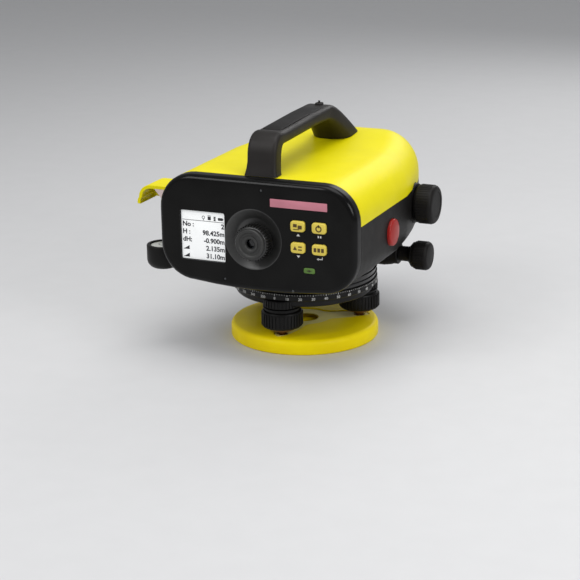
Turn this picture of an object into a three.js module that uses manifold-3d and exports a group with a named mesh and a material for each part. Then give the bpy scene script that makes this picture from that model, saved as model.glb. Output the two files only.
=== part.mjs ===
// Digital level: a levelling telescope with a display, carried on a three-screw base.
// Millimetres. +Z is up, the telescope looks along +Y, and the two knobs are on the +X side.
// Inside this file the vertical turning axis is X = 0, Y = 0, and Z = 0 is the foot of the base.
// The last lines move the whole level so that its box stands centred on the origin.

import * as THREE from "three";
import { mergeVertices } from "three/addons/utils/BufferGeometryUtils.js";
import Module from "manifold-3d";

const wasm = await Module();
wasm.setup();

// Clearances and working allowances
const seat = 0.3; // between two pieces that rest on each other
const running = 0.4; // between two pieces that move past each other
const overrun = 3; // how far a cutter stands past what it cuts
const weld = 0.0005; // points closer than this are one point

// Facets
const coarseSides = 12;
const sides = 18;
const fineSides = 36;
const cornerSteps = 5;
const innerSteps = 2; // for the corners of the inner walls
const crownSteps = 4; // across the bottom of the housing
const ballSteps = 5;
const edgeSteps = 2; // for small rounded edges
const bevelSteps = 1;
const plainSteps = 1; // for corners too small to see

// Base plate
const footCircle = 43.3; // radius of the circle that the foot screws stand on
const footCount = 3;
const baseRim = 14.4; // from the foot circle out to the edge of the base
const baseFloor = 5;
const recessDepth = 8;
const rimRound = 4;
const rimFall = 1.2; // how far the top of the rim falls towards its edge
const footChamfer = 1.2;
const tripodBore = 7.4; // radius of the hole for the tripod's 5/8 inch screw
const tripodBossWall = 5.6;
const tripodBossHeight = 3;
const recessWaist = 8; // from the boss out to the recess between two feet
const recessLobe = 8.4; // from a foot out to the end of its lobe
const lobeSharpness = 5; // how quickly a lobe narrows
const lobeSteps = 14; // points on the recess for each lobe

// Foot screws
const ballRadius = 5;
const ballLift = 3.4; // centre of the ball above the floor of the recess
const clampShare = 0.56; // height of the spring plate on the ball, as a share of its radius
const springPlateThickness = 1;
const springPlateHole = 11;
const neckRadius = 3.2;
const screwRadius = 4.5;
const wheelLift = 5.5; // wheel above the rim of the base
const wheelRadius = 16;
const wheelHeight = 16.2;
const wheelBevel = 1.4;
const footCollarRadius = 8;
const footCollarHeight = 2.6;
const wheelRibs = 22;
const ribDepth = 0.7;

// Tribrach
const bossHeight = 6.9;
const bossRadius = 13;
const bossRibs = 16;
const flangeRadius = 53;
const flangeThickness = 5;
const hubRadius = 15;
const hubDrop = 6; // hub below the flange
const columnRadius = 22;
const columnHeight = 12.15;
const screwBlind = 1; // metal left over the end of a foot screw

// Circle ring
const ringRadius = 57;
const ringWidth = 10;
const ringHeight = 5.6;
const ringChamfer = 0.8;

// Spindle and endless drive
const spindleRadius = 10;
const spindleFlange = 20;
const spindleFlangeThickness = 3;
const spindleRise = 2; // end of the spindle above the foot of the hub
const wormWheelThickness = 6.5;
const wormWheelTeeth = 30;
const wormWheelTooth = 1.3;
const wormRadius = 4;
const wormGap = 0.8; // worm to the wall of the turret
const wormHalf = 7;
const wormGrooves = 4;
const wormGroove = 0.8;
const wormCrestShares = [0.33, 0.67]; // where a crest starts and ends in its pitch
const driveShaftRadius = 2.6;
const driveShaftEnd = 3; // shaft past the worm

// Housing
const housingHalfWidth = 78.5;
const housingHeight = 84.2;
const housingWall = 2.5;
const topRound = 31;
const bottomRound = 27;
const bottomCrown = 3; // how far the bottom rises towards its corners
const rearReach = 78.2; // from the turning axis back to the rear edge of the shells
const taperStart = 17; // Y where the flanks begin to draw in
const noseReach = 103; // Y of the flat face round the objective
const flankTaper = 12;
const noseHalfWidth = 36;
const noseTop = 36; // nose face above the optical axis
const noseBottom = 30; // nose face below the optical axis
const noseFullness = 3.4; // 2 is an ellipse, more is fuller
const noseRound = 29;
const crownRise = 10; // rise of the top towards the front before it rounds off
const noseSteps = 7;
const innerNoseSteps = 4;
const axisRise = 38.7; // optical axis above the bottom of the housing
const splitRise = 15; // parting line above the optical axis
const skirtHeight = 10.2;
const skirtInset = 1; // skirt inside the circle ring
const turretWall = 4;
const turretHeadroom = 1.6; // over the worm wheel
const turretFloor = 2.5;

// Ribs on the skirt
const skirtLedge = 0.9;
const skirtLedgeHeight = 1.6;
const skirtLedgeShares = [0.2, 0.6];

// Rear panel
const panelDepth = 10;
const panelPlate = 6;
const panelRound = 4.5;
const panelRimWall = 4;
const dishRadius = 22;
const dishFloorRadius = 15.5;
const dishDepth = 4.6;

// Display
const displayWidth = 36.3;
const displayHeight = 37.8;
const displayCentre = 42.8; // to the left of the eyepiece
const displayDrop = 0.5; // below the optical axis
const displaySink = 1.4;
const moduleMargin = 4;
const moduleDepth = 3.6;
const displayCorner = 1.5;

// Name strip, lamp and keys
const stripWidth = 44.4;
const stripHeight = 6;
const stripDepth = 0.8;
const stripCentre = 34.4; // to the right of the eyepiece
const stripRise = 29.8; // above the optical axis
const lampWidth = 8.8;
const lampHeight = 4.1;
const lampRound = 1.4;
const lampProud = 0.3;
const keyWidth = 11;
const keyHeight = 7.9;
const keyRound = 2.2;
const keyProud = 1.8;
const keyBevel = 0.6;
const keyFlange = 1;
const keyFlangeThickness = 1;
const keyTravel = 1;
const keyPitchAcross = 16.6;
const keyPitchUp = 16;
const keyBlockCentre = 42.3; // to the right of the eyepiece
const keyBlockRise = 6.4; // above the optical axis
const lampDrop = 32.7; // below the middle of the upper keys
const boardThickness = 1.6;
const keyBoardMargin = 4;

// Telescope
const tubeRadius = 24;
const tubeWall = 1.6;
const rearTubeRadius = 14;
const rearTubeWall = 2;
const shoulderAhead = 22; // end of the wide tube in front of the beam splitter
const tubeCone = 5;
const hoodRadius = 27.4;
const hoodWall = 6.2;
const hoodProud = 16.5; // front of the hood past the nose
const hoodLipWall = 2.6;
const hoodBevel = 1.6;
const lensThickness = 6;
const lensBulge = 1.8;
const bulgeShare = 0.25; // for the two small lenses
const lensSetback = 9; // objective behind the front of the hood

// Focusing lens and its rack
const focusCellLength = 12;
const focusCellWall = 3;
const focusLensThickness = 3;
const focusTravel = 8; // each way
const rackWidth = 5;
const rackHeight = 4;
const rackSpare = 4; // rack past the pinion at each end of the travel
const pinionRadius = 4;
const pinionLength = 6;
const pinionTeeth = 12;
const pinionTooth = 0.8;
const windowSpare = 2;

// Compensator
const compensatorLength = 26;
const compensatorWall = 2;
const compensatorAhead = 22; // its middle in front of the tube's shoulder
const pendulumWidth = 12;
const pendulumHeight = 22;
const pendulumDepth = 9;
const pendulumStem = 3;
const bridgeHeight = 3;
const bridgeDepth = 4;
const sightHole = 6;

// Beam splitter and sensor
const splitterAhead = 18; // its middle in front of the main board
const sensorSide = 22;
const sensorThickness = 2;

// Eyepiece
const barrelRadius = 10.2;
const barrelBore = 9;
const barrelProud = 3.4; // its end behind the face of the panel
const dioptreRadius = 14.2;
const dioptreRibs = 18;
const dioptreRib = 0.8;
const dioptreLength = 6;
const dioptreSink = 0.6; // back of the ring past the face of the panel
const cupRadius = 11.5;
const cupStandOff = 4.3; // rim of the cup behind the barrel
const cupThickness = 3.2;
const cupSleeveLength = 10;
const cupBore = 5.6;
const cupMouth = 2.6;
const cupBevel = 1.2;
const eyeLensThickness = 3;
const eyeLensSetback = 4.5;

// Focus knob
const focusY = 47.7;
const focusRise = 2.15; // above the optical axis
const focusKnobRadius = 15;
const focusKnobLength = 13.8;
const knobBevel = 2.4;
const knobRibs = 22;
const knobRibDepth = 0.5;
const focusBossWall = 2.8;
const focusBossDepth = 12;
const focusShaftRadius = 3;
const knobSocket = 8; // shaft into the knob

// Drive knob
const driveKnobRadius = 11;
const driveKnobLength = 14;
const driveNeckRadius = 5.9;
const driveNeckLength = 11;
const driveBossWall = 6;
const driveBossInset = 16.5; // end of its boss in from the flank

// Measuring button
const buttonRadius = 10.2;
const buttonY = -15;
const buttonDrop = 4.8; // below the optical axis
const buttonProud = 3.4;
const buttonTravel = 1.5;
const buttonStem = 6;
const buttonStemLength = 5;
const buttonBevel = 1.6;
const buttonDomeShare = 0.33; // rise of the cap as a share of its bevel
const buttonPocketWall = 2;

// Handle
const handleHalfWidth = 11;
const handleRise = 32.2; // top of the bar above the housing
const legThickness = 13;
const barThickness = 10.5;
const legLean = 7;
const legInset = 4.9; // middle of the rear foot in front of the rear edge of the shells
const barFront = 34;
const barInnerFront = 26; // where the underside of the bar turns down
const frontFootHalfWidth = 14;
const frontFootOuter = 94; // Y where the top of the front leg meets the cover
const frontFootInner = 57;
const legSteps = 5;
const handleRound = 4;
const bendShare = 1.2; // length of the rear bend in bar thicknesses
const bendDropShare = 0.17; // how far the corner's middle lies below the bar's, in leg thicknesses
const bendShares = [0.62, 0.1]; // how much of the leg's lean is left at its two stations
const footSink = 4;
const stripTopHalfWidth = 7.5;
const stripTopThickness = 2;
const stripGap = 0.5;
const stripShare = 0.6; // front end of the strip as a share of the way to the bend
const stripRoundShare = 0.33; // its corners as a share of its half width
const sightHeight = 3;
const sightLength = 5.5;
const sightHalfWidth = 2.2;

// Round level, its mirror and hood
const levelRadius = 13;
const levelInset = 18.2; // its middle in front of the rear edge of the shells
const levelTopDrop = 18.3; // below the optical axis
const levelHeight = 20.5;
const levelRound = 6;
const levelProjection = 25.5; // its far side past the flank
const vialWall = 2.6;
const vialDepth = 8;
const vialDome = 0.8;
const domeShares = [0.7, 0.33]; // a point on the dome, out and down
const webHalf = 8;
const hoodProjection = 27; // past the flank
const mirrorHoodLength = 25;
const mirrorHoodWall = 2.6;
const mirrorHoodTop = 30; // above the optical axis
const mirrorHoodLip = 16; // outer lip below the top
const mirrorHoodRound = 9;
const mirrorHoodFlare = 4.5; // how far the lip stands out past the shoulder
const mirrorHoodFront = 21; // front wall below the top
const mirrorThickness = 2;

// Batteries, their holder and the door
const cellRadius = 7.25;
const cellLength = 50.5;
const cellPitch = 15;
const cellTip = 1.2;
const cellTipRadius = 2.6;
const cellsInset = 29; // inner column of cells in from the flank
const cellsLow = 21.3; // lower row below the optical axis
const cellsAhead = 64.2; // middle of the cells in front of the rear edge of the shells
const holderWall = 1.6;
const tubWall = 2;
const doorMargin = 3;
const doorThickness = 2.5;
const hingeRadius = 1.9;
const knuckleLength = 9;
const latchWidth = 14;
const latchHeight = 6;
const latchProud = 1.4;
const latchTravel = 3;

// Boards
const mainBoardHalf = 44;
const mainBoardHeight = 56;
const mainBoardAhead = 12.6; // in front of the rear panel

// Heights and radii that follow from the sizes above
const baseRadius = footCircle + baseRim;
const baseHeight = baseFloor + recessDepth;
const tripodBoss = tripodBore + tripodBossWall;
const ballCentre = baseFloor + ballLift;
const springPlateBottom = ballCentre + clampShare * ballRadius;
const springPlateBall = Math.sqrt(1 - clampShare ** 2) * ballRadius + running;
const wheelBottom = baseHeight + wheelLift;
const wheelTop = wheelBottom + wheelHeight;
const bossBottom = wheelTop + running;
const bossTop = bossBottom + bossHeight;
const flangeTop = bossTop;
const flangeBottom = flangeTop - flangeThickness;
const hubBottom = flangeBottom - hubDrop;
const columnTop = flangeTop + columnHeight;
const ringBottom = flangeTop + running;
const ringTop = ringBottom + ringHeight;
const skirtBottom = ringTop + running;
const skirtRadius = ringRadius - skirtInset;
const turretInner = skirtRadius - turretWall;
const housingBottom = skirtBottom + skirtHeight;
const wormWheelBottom = columnTop + seat;
const wormWheelTop = wormWheelBottom + wormWheelThickness;
const turretTop = wormWheelTop + turretHeadroom;
const driveZ = wormWheelBottom + wormWheelThickness / 2;
const driveY = turretInner - wormRadius - wormGap;
const wormWheelRadius = driveY - wormRadius - running;
const spindleTop = turretTop + turretFloor + seat;
const axisZ = housingBottom + axisRise;
const housingTop = housingBottom + housingHeight;
const splitZ = axisZ + splitRise;
const panelFront = -(rearReach + running);
const panelRear = panelFront - panelDepth;
const plateBack = panelRear + panelPlate;
const mainBoardY = panelFront + mainBoardAhead;
const splitterCentre = mainBoardY + splitterAhead;
const hoodReach = noseReach + hoodProud;
const legBack = rearReach - legInset;
const cellsInner = housingHalfWidth - cellsInset;
const cellsY = cellsAhead - rearReach;
const tubeShoulder = splitterCentre + shoulderAhead;
const compensatorCentre = tubeShoulder + compensatorAhead;
const focusZ = axisZ + focusRise;
const focusBoss = focusKnobRadius + focusBossWall;
const barrelReach = barrelProud - panelRear;
const cupReach = barrelReach + cupStandOff + cupThickness;
const driveBossEnd = housingHalfWidth - driveBossInset;
const driveNeckBack = driveBossEnd + running;
const driveKnobBack = driveNeckBack + driveNeckLength;
const driveKnobReach = driveKnobBack + driveKnobLength;
const buttonAt = [0, buttonY, axisZ - buttonDrop];
const handleTop = housingTop + handleRise;
const levelX = levelRadius - housingHalfWidth - levelProjection;
const levelY = levelInset - rearReach;
const levelTop = axisZ - levelTopDrop;

// A closed surface as a solid, with its faces turned outwards.
function solid(geometry) {
  const bare = geometry.index ? geometry.toNonIndexed() : geometry.clone();
  bare.deleteAttribute("normal");
  bare.deleteAttribute("uv");
  const merged = mergeVertices(bare, weld);
  const corners = merged.index.array;
  const at = (i) => new THREE.Vector3().fromBufferAttribute(merged.attributes.position, i);
  const faces = [];
  let volume = 0;
  for (let i = 0; i < corners.length; i += 3) {
    const [a, b, c] = corners.slice(i, i + 3);
    if (a === b || b === c || c === a) continue;
    faces.push([a, b, c]);
    volume += at(a).dot(at(b).cross(at(c)));
  }
  const outward = volume > 0 ? faces : faces.map(([a, b, c]) => [a, c, b]);
  return new wasm.Manifold(
    new wasm.Mesh({
      numProp: 3,
      vertProperties: merged.attributes.position.array,
      triVerts: new Uint32Array(outward.flat()),
    }),
  );
}

// The surface of a solid, ready for a mesh.
function surface(body) {
  const { vertProperties, triVerts } = body.getMesh();
  const geometry = new THREE.BufferGeometry();
  geometry.setAttribute("position", new THREE.BufferAttribute(vertProperties, 3));
  geometry.setIndex(new THREE.BufferAttribute(triVerts, 1));
  const flat = geometry.toNonIndexed();
  flat.computeVertexNormals();
  return flat;
}

const joined = (...bodies) => bodies.reduce((all, body) => all.add(body));
const cut = (body, ...cutters) => cutters.reduce((left, cutter) => left.subtract(cutter), body);

// A box between two limits on each axis.
function block([x0, x1], [y0, y1], [z0, z1]) {
  const box = new THREE.BoxGeometry(x1 - x0, y1 - y0, z1 - z0);
  box.translate((x0 + x1) / 2, (y0 + y1) / 2, (z0 + z1) / 2);
  return solid(box);
}

// Turns what was drawn about or along the page's axis to the axis that is named.
function aim(geometry, axis) {
  const across = new THREE.Matrix4();
  const [x, y, z] = [new THREE.Vector3(1, 0, 0), new THREE.Vector3(0, 1, 0), new THREE.Vector3(0, 0, 1)];
  if (axis === "x") across.makeBasis(y, z, x);
  if (axis === "y") across.makeBasis(x, z, y.clone().negate());
  return geometry.applyMatrix4(across);
}

// A body of revolution. Its profile is a list of [radius, place along the axis].
function turned(profile, axis, at = [0, 0, 0], steps = sides) {
  const points = profile.map(([r, along]) => new THREE.Vector2(r, along));
  const onAxis = profile[0][0] === 0 && profile.at(-1)[0] === 0;
  if (!onAxis) points.push(points[0].clone());
  const lathe = new THREE.LatheGeometry(points, steps);
  if (axis === "z") lathe.rotateX(Math.PI / 2);
  if (axis === "x") lathe.rotateZ(-Math.PI / 2);
  lathe.translate(...at);
  return solid(lathe);
}

// A plain round bar or a round cutter.
const bar = (radius, from, to, axis, at, steps) =>
  turned([[0, from], [radius, from], [radius, to], [0, to]], axis, at, steps);

// An outline drawn across an axis and extruded along it. The sketch plane is YZ for x and XZ for y.
function prism(shape, from, to, axis = "z", bevel = 0, steps = cornerSteps) {
  const bevelled = bevel > 0;
  const geometry = new THREE.ExtrudeGeometry(shape, {
    depth: to - from - 2 * bevel,
    bevelEnabled: bevelled,
    bevelThickness: bevel,
    bevelSize: bevel,
    bevelOffset: -bevel,
    bevelSegments: bevelSteps,
    curveSegments: steps,
  });
  if (axis === "y") geometry.translate(0, 0, bevel - to);
  else geometry.translate(0, 0, from + bevel);
  return solid(aim(geometry, axis));
}

// A rounded rectangle about a centre.
function plate(width, height, round, [cx, cy] = [0, 0]) {
  const shape = new THREE.Shape();
  const [w, h] = [width / 2 - round, height / 2 - round];
  shape.absarc(cx + w, cy - h, round, -Math.PI / 2, 0);
  shape.absarc(cx + w, cy + h, round, 0, Math.PI / 2);
  shape.absarc(cx - w, cy + h, round, Math.PI / 2, Math.PI);
  shape.absarc(cx - w, cy - h, round, Math.PI, 1.5 * Math.PI);
  return shape;
}

// A round outline with ribs or teeth: each has a crest and a valley.
function ribbed(radius, depth, count, crestShare = 0.5) {
  const points = [];
  for (let i = 0; i < count; i++) {
    const [start, pitch] = [(i * 2 * Math.PI) / count, (2 * Math.PI) / count];
    const places = [[0, radius], [crestShare, radius], [crestShare, radius - depth], [1, radius - depth]];
    const kept = crestShare < 0.5 ? places : [places[0], places[2]];
    for (const [share, r] of kept) {
      const angle = start + share * pitch;
      points.push(new THREE.Vector2(r * Math.cos(angle), r * Math.sin(angle)));
    }
  }
  return new THREE.Shape(points);
}

// Skins a row of closed sections that all have the same number of points.
function loft(sections) {
  const [rows, count] = [sections.length, sections[0].length];
  const index = [];
  for (let row = 0; row < rows - 1; row++) {
    for (let i = 0; i < count; i++) {
      const next = (i + 1) % count;
      const [a, b] = [row * count + i, row * count + next];
      index.push(a, b, b + count, a, b + count, a + count);
    }
  }
  const last = (rows - 1) * count;
  for (let i = 1; i < count - 1; i++) {
    index.push(0, i + 1, i);
    index.push(last, last + i, last + i + 1);
  }
  const geometry = new THREE.BufferGeometry().setFromPoints(sections.flat());
  geometry.setIndex(index);
  return solid(geometry);
}

// Places an arc's points in a list: centre, radius, and where it starts and ends in quarter turns.
function arc(points, cx, cz, radius, start, end, steps = cornerSteps) {
  for (let i = 0; i <= steps; i++) {
    const angle = ((start + ((end - start) * i) / steps) * Math.PI) / 2;
    points.push([cx + radius * Math.cos(angle), cz + radius * Math.sin(angle)]);
  }
}

// The cross-section of the level: rounded corners, a flat top and a bottom with a slight crown.
function crossSection({ half, top, bottom, topCorner, bottomCorner, crown }, steps) {
  const points = [];
  arc(points, half - topCorner, top - topCorner, topCorner, 0, 1, steps);
  arc(points, topCorner - half, top - topCorner, topCorner, 1, 2, steps);
  const low = bottom + crown;
  arc(points, bottomCorner - half, low + bottomCorner, bottomCorner, 2, 3, steps);
  const flat = half - bottomCorner;
  for (let i = 1; i < crownSteps; i++) {
    const share = (2 * i) / crownSteps - 1;
    points.push([flat * share, bottom + crown * share ** 2]);
  }
  arc(points, half - bottomCorner, low + bottomCorner, bottomCorner, 3, 4, steps);
  return points;
}

// The sizes of the housing's section at a share of the way along the nose, 0 on the straight part.
function housingSizes(t, grow) {
  const fall = 1 - (1 - t ** noseFullness) ** (1 / noseFullness);
  const between = (straight, nose) => straight + (nose - straight) * fall;
  const rise = crownRise * t ** 2;
  return {
    half: between(housingHalfWidth - flankTaper * t, noseHalfWidth) + grow,
    top: between(housingTop + rise, axisZ + noseTop) + grow,
    bottom: between(housingBottom, axisZ - noseBottom) - grow,
    topCorner: topRound + (noseRound - topRound) * t + grow,
    bottomCorner: bottomRound + (noseRound - bottomRound) * t + grow,
    crown: bottomCrown * (1 - t),
  };
}

// The outer form of the housing, grown or shrunk all round, from a given rear end to the nose.
function housingForm(grow, rear, steps = cornerSteps, rows = noseSteps) {
  const stations = [[rear, 0], [taperStart, 0]];
  const length = noseReach + grow - taperStart;
  for (let i = 1; i <= rows; i++) {
    const t = Math.sin((Math.PI / 2) * (i / rows));
    stations.push([taperStart + length * t, t]);
  }
  return loft(
    stations.map(([y, t]) =>
      crossSection(housingSizes(t, grow), steps).map(([x, z]) => new THREE.Vector3(x, y, z)),
    ),
  );
}

// Half the width of the housing at a given Y.
const flankAt = (y) => housingSizes(Math.max(0, (y - taperStart) / (noseReach - taperStart)), 0).half;
const focusKnobBack = flankAt(focusY - focusKnobRadius) + running;
const focusKnobReach = focusKnobBack + focusKnobLength;
const buttonFlank = flankAt(buttonY);

const outerForm = housingForm(0, -rearReach);
const clearForm = housingForm(seat, -rearReach - overrun);
const innerForm = housingForm(-housingWall, -rearReach - overrun, innerSteps, innerNoseSteps);
const shell = cut(outerForm, innerForm);
const wide = [-2 * housingHalfWidth, 2 * housingHalfWidth];
const long = [-2 * noseReach, 2 * noseReach];
const tall = 2 * housingTop;

// Materials
const material = (color, roughness, metalness = 0) =>
  new THREE.MeshStandardMaterial({ color, roughness, metalness, flatShading: true });
const finish = {
  yellow: material(0xf2e80c, 0.38),
  baseYellow: material(0xdccb00, 0.45),
  black: material(0x1b1b1b, 0.42),
  satin: material(0x2c2a28, 0.5),
  gloss: material(0x151515, 0.22),
  steel: material(0xb9bbbd, 0.3, 0.9),
  brass: material(0xb4924a, 0.35, 0.85),
  aluminium: material(0x6f7377, 0.4, 0.8),
  glass: material(0xcfe3ea, 0.05),
  screen: material(0xe9ecea, 0.3),
  keys: material(0xe8dc86, 0.5),
  red: material(0xa8322e, 0.35),
  lamp: material(0x7fa35a, 0.4),
  strip: material(0xd9a9b2, 0.5),
  board: material(0x1f5a34, 0.6),
  cell: material(0x5c6066, 0.35, 0.5),
  mirror: material(0xe6e2e0, 0.08, 0.9),
  vial: material(0xe4efe0, 0.1),
};

const level = new THREE.Group();
const piece = (name, body, look, home = level) => {
  const mesh = new THREE.Mesh(surface(body), look);
  mesh.name = name;
  home.add(mesh);
  return mesh;
};

// Where each foot screw stands: the first is nearest the operator.
const footPlaces = Array.from({ length: footCount }, (_, i) => {
  const angle = (2 * Math.PI * i) / footCount - Math.PI / 2;
  return [footCircle * Math.cos(angle), footCircle * Math.sin(angle)];
});

// The recess of the base reaches out in a lobe at each foot and is waisted between them.
function lobedOutline(inset) {
  const waist = tripodBoss + recessWaist - inset;
  const reach = footCircle + recessLobe - inset;
  const points = [];
  const steps = lobeSteps * footCount;
  for (let i = 0; i < steps; i++) {
    const angle = (2 * Math.PI * i) / steps;
    const lobe = ((1 + Math.cos(footCount * (angle + Math.PI / 2))) / 2) ** lobeSharpness;
    const radius = waist + (reach - waist) * lobe;
    points.push(new THREE.Vector2(radius * Math.cos(angle), radius * Math.sin(angle)));
  }
  return new THREE.Shape(points);
}

// Base plate: a crowned disc with a lobed recess, a ball socket for each foot and the tripod hole.
function basePlate() {
  const edge = baseRadius - rimRound;
  const shoulder = baseHeight - rimFall;
  const profile = [[0, 0], [baseRadius - footChamfer, 0], [baseRadius, footChamfer]];
  for (let i = 0; i <= edgeSteps; i++) {
    const angle = ((Math.PI / 2) * i) / edgeSteps;
    profile.push([edge + rimRound * Math.cos(angle), shoulder - rimRound + rimRound * Math.sin(angle)]);
  }
  profile.push([footCircle, baseHeight], [0, baseHeight]);
  const disc = turned(profile, "z", [0, 0, 0], fineSides);
  const hollow = prism(lobedOutline(0), baseFloor, baseHeight + overrun);
  const boss = bar(tripodBoss, baseFloor - footChamfer, baseFloor + tripodBossHeight, "z");
  const bore = bar(tripodBore, -overrun, baseHeight, "z");
  const sockets = footPlaces.map(([x, y]) => {
    const ball = new THREE.SphereGeometry(ballRadius + seat, coarseSides, coarseSides / 2);
    return solid(ball.translate(x, y, ballCentre));
  });
  return cut(joined(cut(disc, hollow), boss), bore, ...sockets);
}

// Spring plate: holds the three balls down in their sockets.
function springPlate() {
  const top = springPlateBottom + springPlateThickness;
  const leaf = prism(lobedOutline(running), springPlateBottom, top);
  const eyes = footPlaces.map(([x, y]) =>
    bar(springPlateBall, springPlateBottom - overrun, top + overrun, "z", [x, y, 0], coarseSides),
  );
  return cut(leaf, bar(springPlateHole, springPlateBottom - overrun, top + overrun, "z"), ...eyes);
}

// Foot screw: ball, neck and threaded part in one turning.
function footScrew([x, y]) {
  const profile = [];
  const neckAngle = Math.acos(neckRadius / ballRadius);
  for (let i = 0; i <= ballSteps; i++) {
    const angle = -Math.PI / 2 + ((neckAngle + Math.PI / 2) * i) / ballSteps;
    const radius = i === 0 ? 0 : ballRadius * Math.cos(angle);
    profile.push([radius, ballCentre + ballRadius * Math.sin(angle)]);
  }
  const end = bossTop - screwBlind - running;
  const collarLow = wheelBottom - seat - footCollarHeight;
  profile.push([neckRadius, collarLow], [footCollarRadius, collarLow + footCollarHeight / 2]);
  profile.push([footCollarRadius, wheelBottom - seat], [screwRadius, wheelBottom - seat]);
  profile.push([screwRadius, end], [0, end]);
  return turned(profile, "z", [x, y, 0], coarseSides);
}

function footWheel([x, y]) {
  const wheel = new THREE.ExtrudeGeometry(ribbed(wheelRadius, ribDepth, wheelRibs), {
    depth: wheelHeight - 2 * wheelBevel,
    bevelThickness: wheelBevel,
    bevelSize: wheelBevel,
    bevelOffset: -wheelBevel,
    bevelSegments: bevelSteps,
  });
  wheel.translate(x, y, wheelBottom + wheelBevel);
  const [low, high] = [wheelBottom - overrun, wheelTop + overrun];
  const bore = bar(screwRadius + seat, low, high, "z", [x, y, 0], coarseSides);
  return cut(solid(wheel), bore);
}

// Tribrach: flange, hub and column in one turning, with a ribbed boss over each foot screw.
function tribrach() {
  const body = turned(
    [
      [0, hubBottom],
      [hubRadius, hubBottom],
      [columnRadius, flangeBottom],
      [flangeRadius, flangeBottom],
      [flangeRadius, flangeTop],
      [columnRadius, flangeTop],
      [columnRadius, columnTop],
      [0, columnTop],
    ],
    "z",
    [0, 0, 0],
    fineSides,
  );
  const bosses = footPlaces.map(([x, y]) => {
    const boss = new THREE.ExtrudeGeometry(ribbed(bossRadius, ribDepth, bossRibs), {
      depth: bossHeight,
      bevelEnabled: false,
    });
    return solid(boss.translate(x, y, bossBottom));
  });
  const arms = footPlaces.map(([x, y]) => {
    const length = Math.hypot(x, y);
    const arm = new THREE.BoxGeometry(length, bossRadius, bossHeight);
    arm.translate(length / 2, 0, bossBottom + bossHeight / 2);
    return solid(arm.rotateZ(Math.atan2(y, x)));
  });
  const threads = footPlaces.map(([x, y]) =>
    bar(screwRadius + running, bossBottom - overrun, bossTop - screwBlind, "z", [x, y, 0], coarseSides),
  );
  const bearing = bar(spindleRadius + running, hubBottom - overrun, columnTop + overrun, "z");
  return cut(joined(body, ...bosses, ...arms), bearing, ...threads);
}

// Circle ring: lies on the tribrach's flange, under the skirt of the housing.
function circleRing() {
  const bore = ringRadius - ringWidth;
  return turned(
    [
      [bore, ringBottom],
      [ringRadius - ringChamfer, ringBottom],
      [ringRadius, ringBottom + ringChamfer],
      [ringRadius, ringTop],
      [bore, ringTop],
    ],
    "z",
    [0, 0, 0],
    fineSides,
  );
}

// Worm wheel: fixed on the tribrach's column, round the spindle.
function wormWheel() {
  const outline = ribbed(wormWheelRadius, wormWheelTooth, wormWheelTeeth);
  const wheel = prism(outline, wormWheelBottom, wormWheelTop);
  return cut(wheel, bar(spindleRadius + running, wormWheelBottom - overrun, wormWheelTop + overrun, "z"));
}

// Spindle: hangs from the floor of the housing and turns in the tribrach.
function spindle() {
  const flangeHigh = spindleTop + spindleFlangeThickness;
  return turned(
    [
      [0, hubBottom + spindleRise],
      [spindleRadius, hubBottom + spindleRise],
      [spindleRadius, spindleTop],
      [spindleFlange, spindleTop],
      [spindleFlange, flangeHigh],
      [0, flangeHigh],
    ],
    "z",
  );
}

// The battery block: two by two cells along Y, in a tub that opens to the left.
const cellColumns = [-cellsInner, -cellsInner - cellPitch];
const cellRows = [axisZ - cellsLow, axisZ - cellsLow + cellPitch];
const cellEnds = [cellsY - cellLength / 2, cellsY + cellLength / 2];
const tubInside = {
  x: [-housingHalfWidth, cellColumns[0] + cellRadius + 2 * seat + holderWall],
  y: [cellEnds[0] - 2 * seat - holderWall, cellEnds[1] + 2 * seat + holderWall],
  z: [cellRows[0] - cellRadius - seat, cellRows[1] + cellRadius + seat],
};

function grown([low, high], by) {
  return [low - by, high + by];
}

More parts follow.
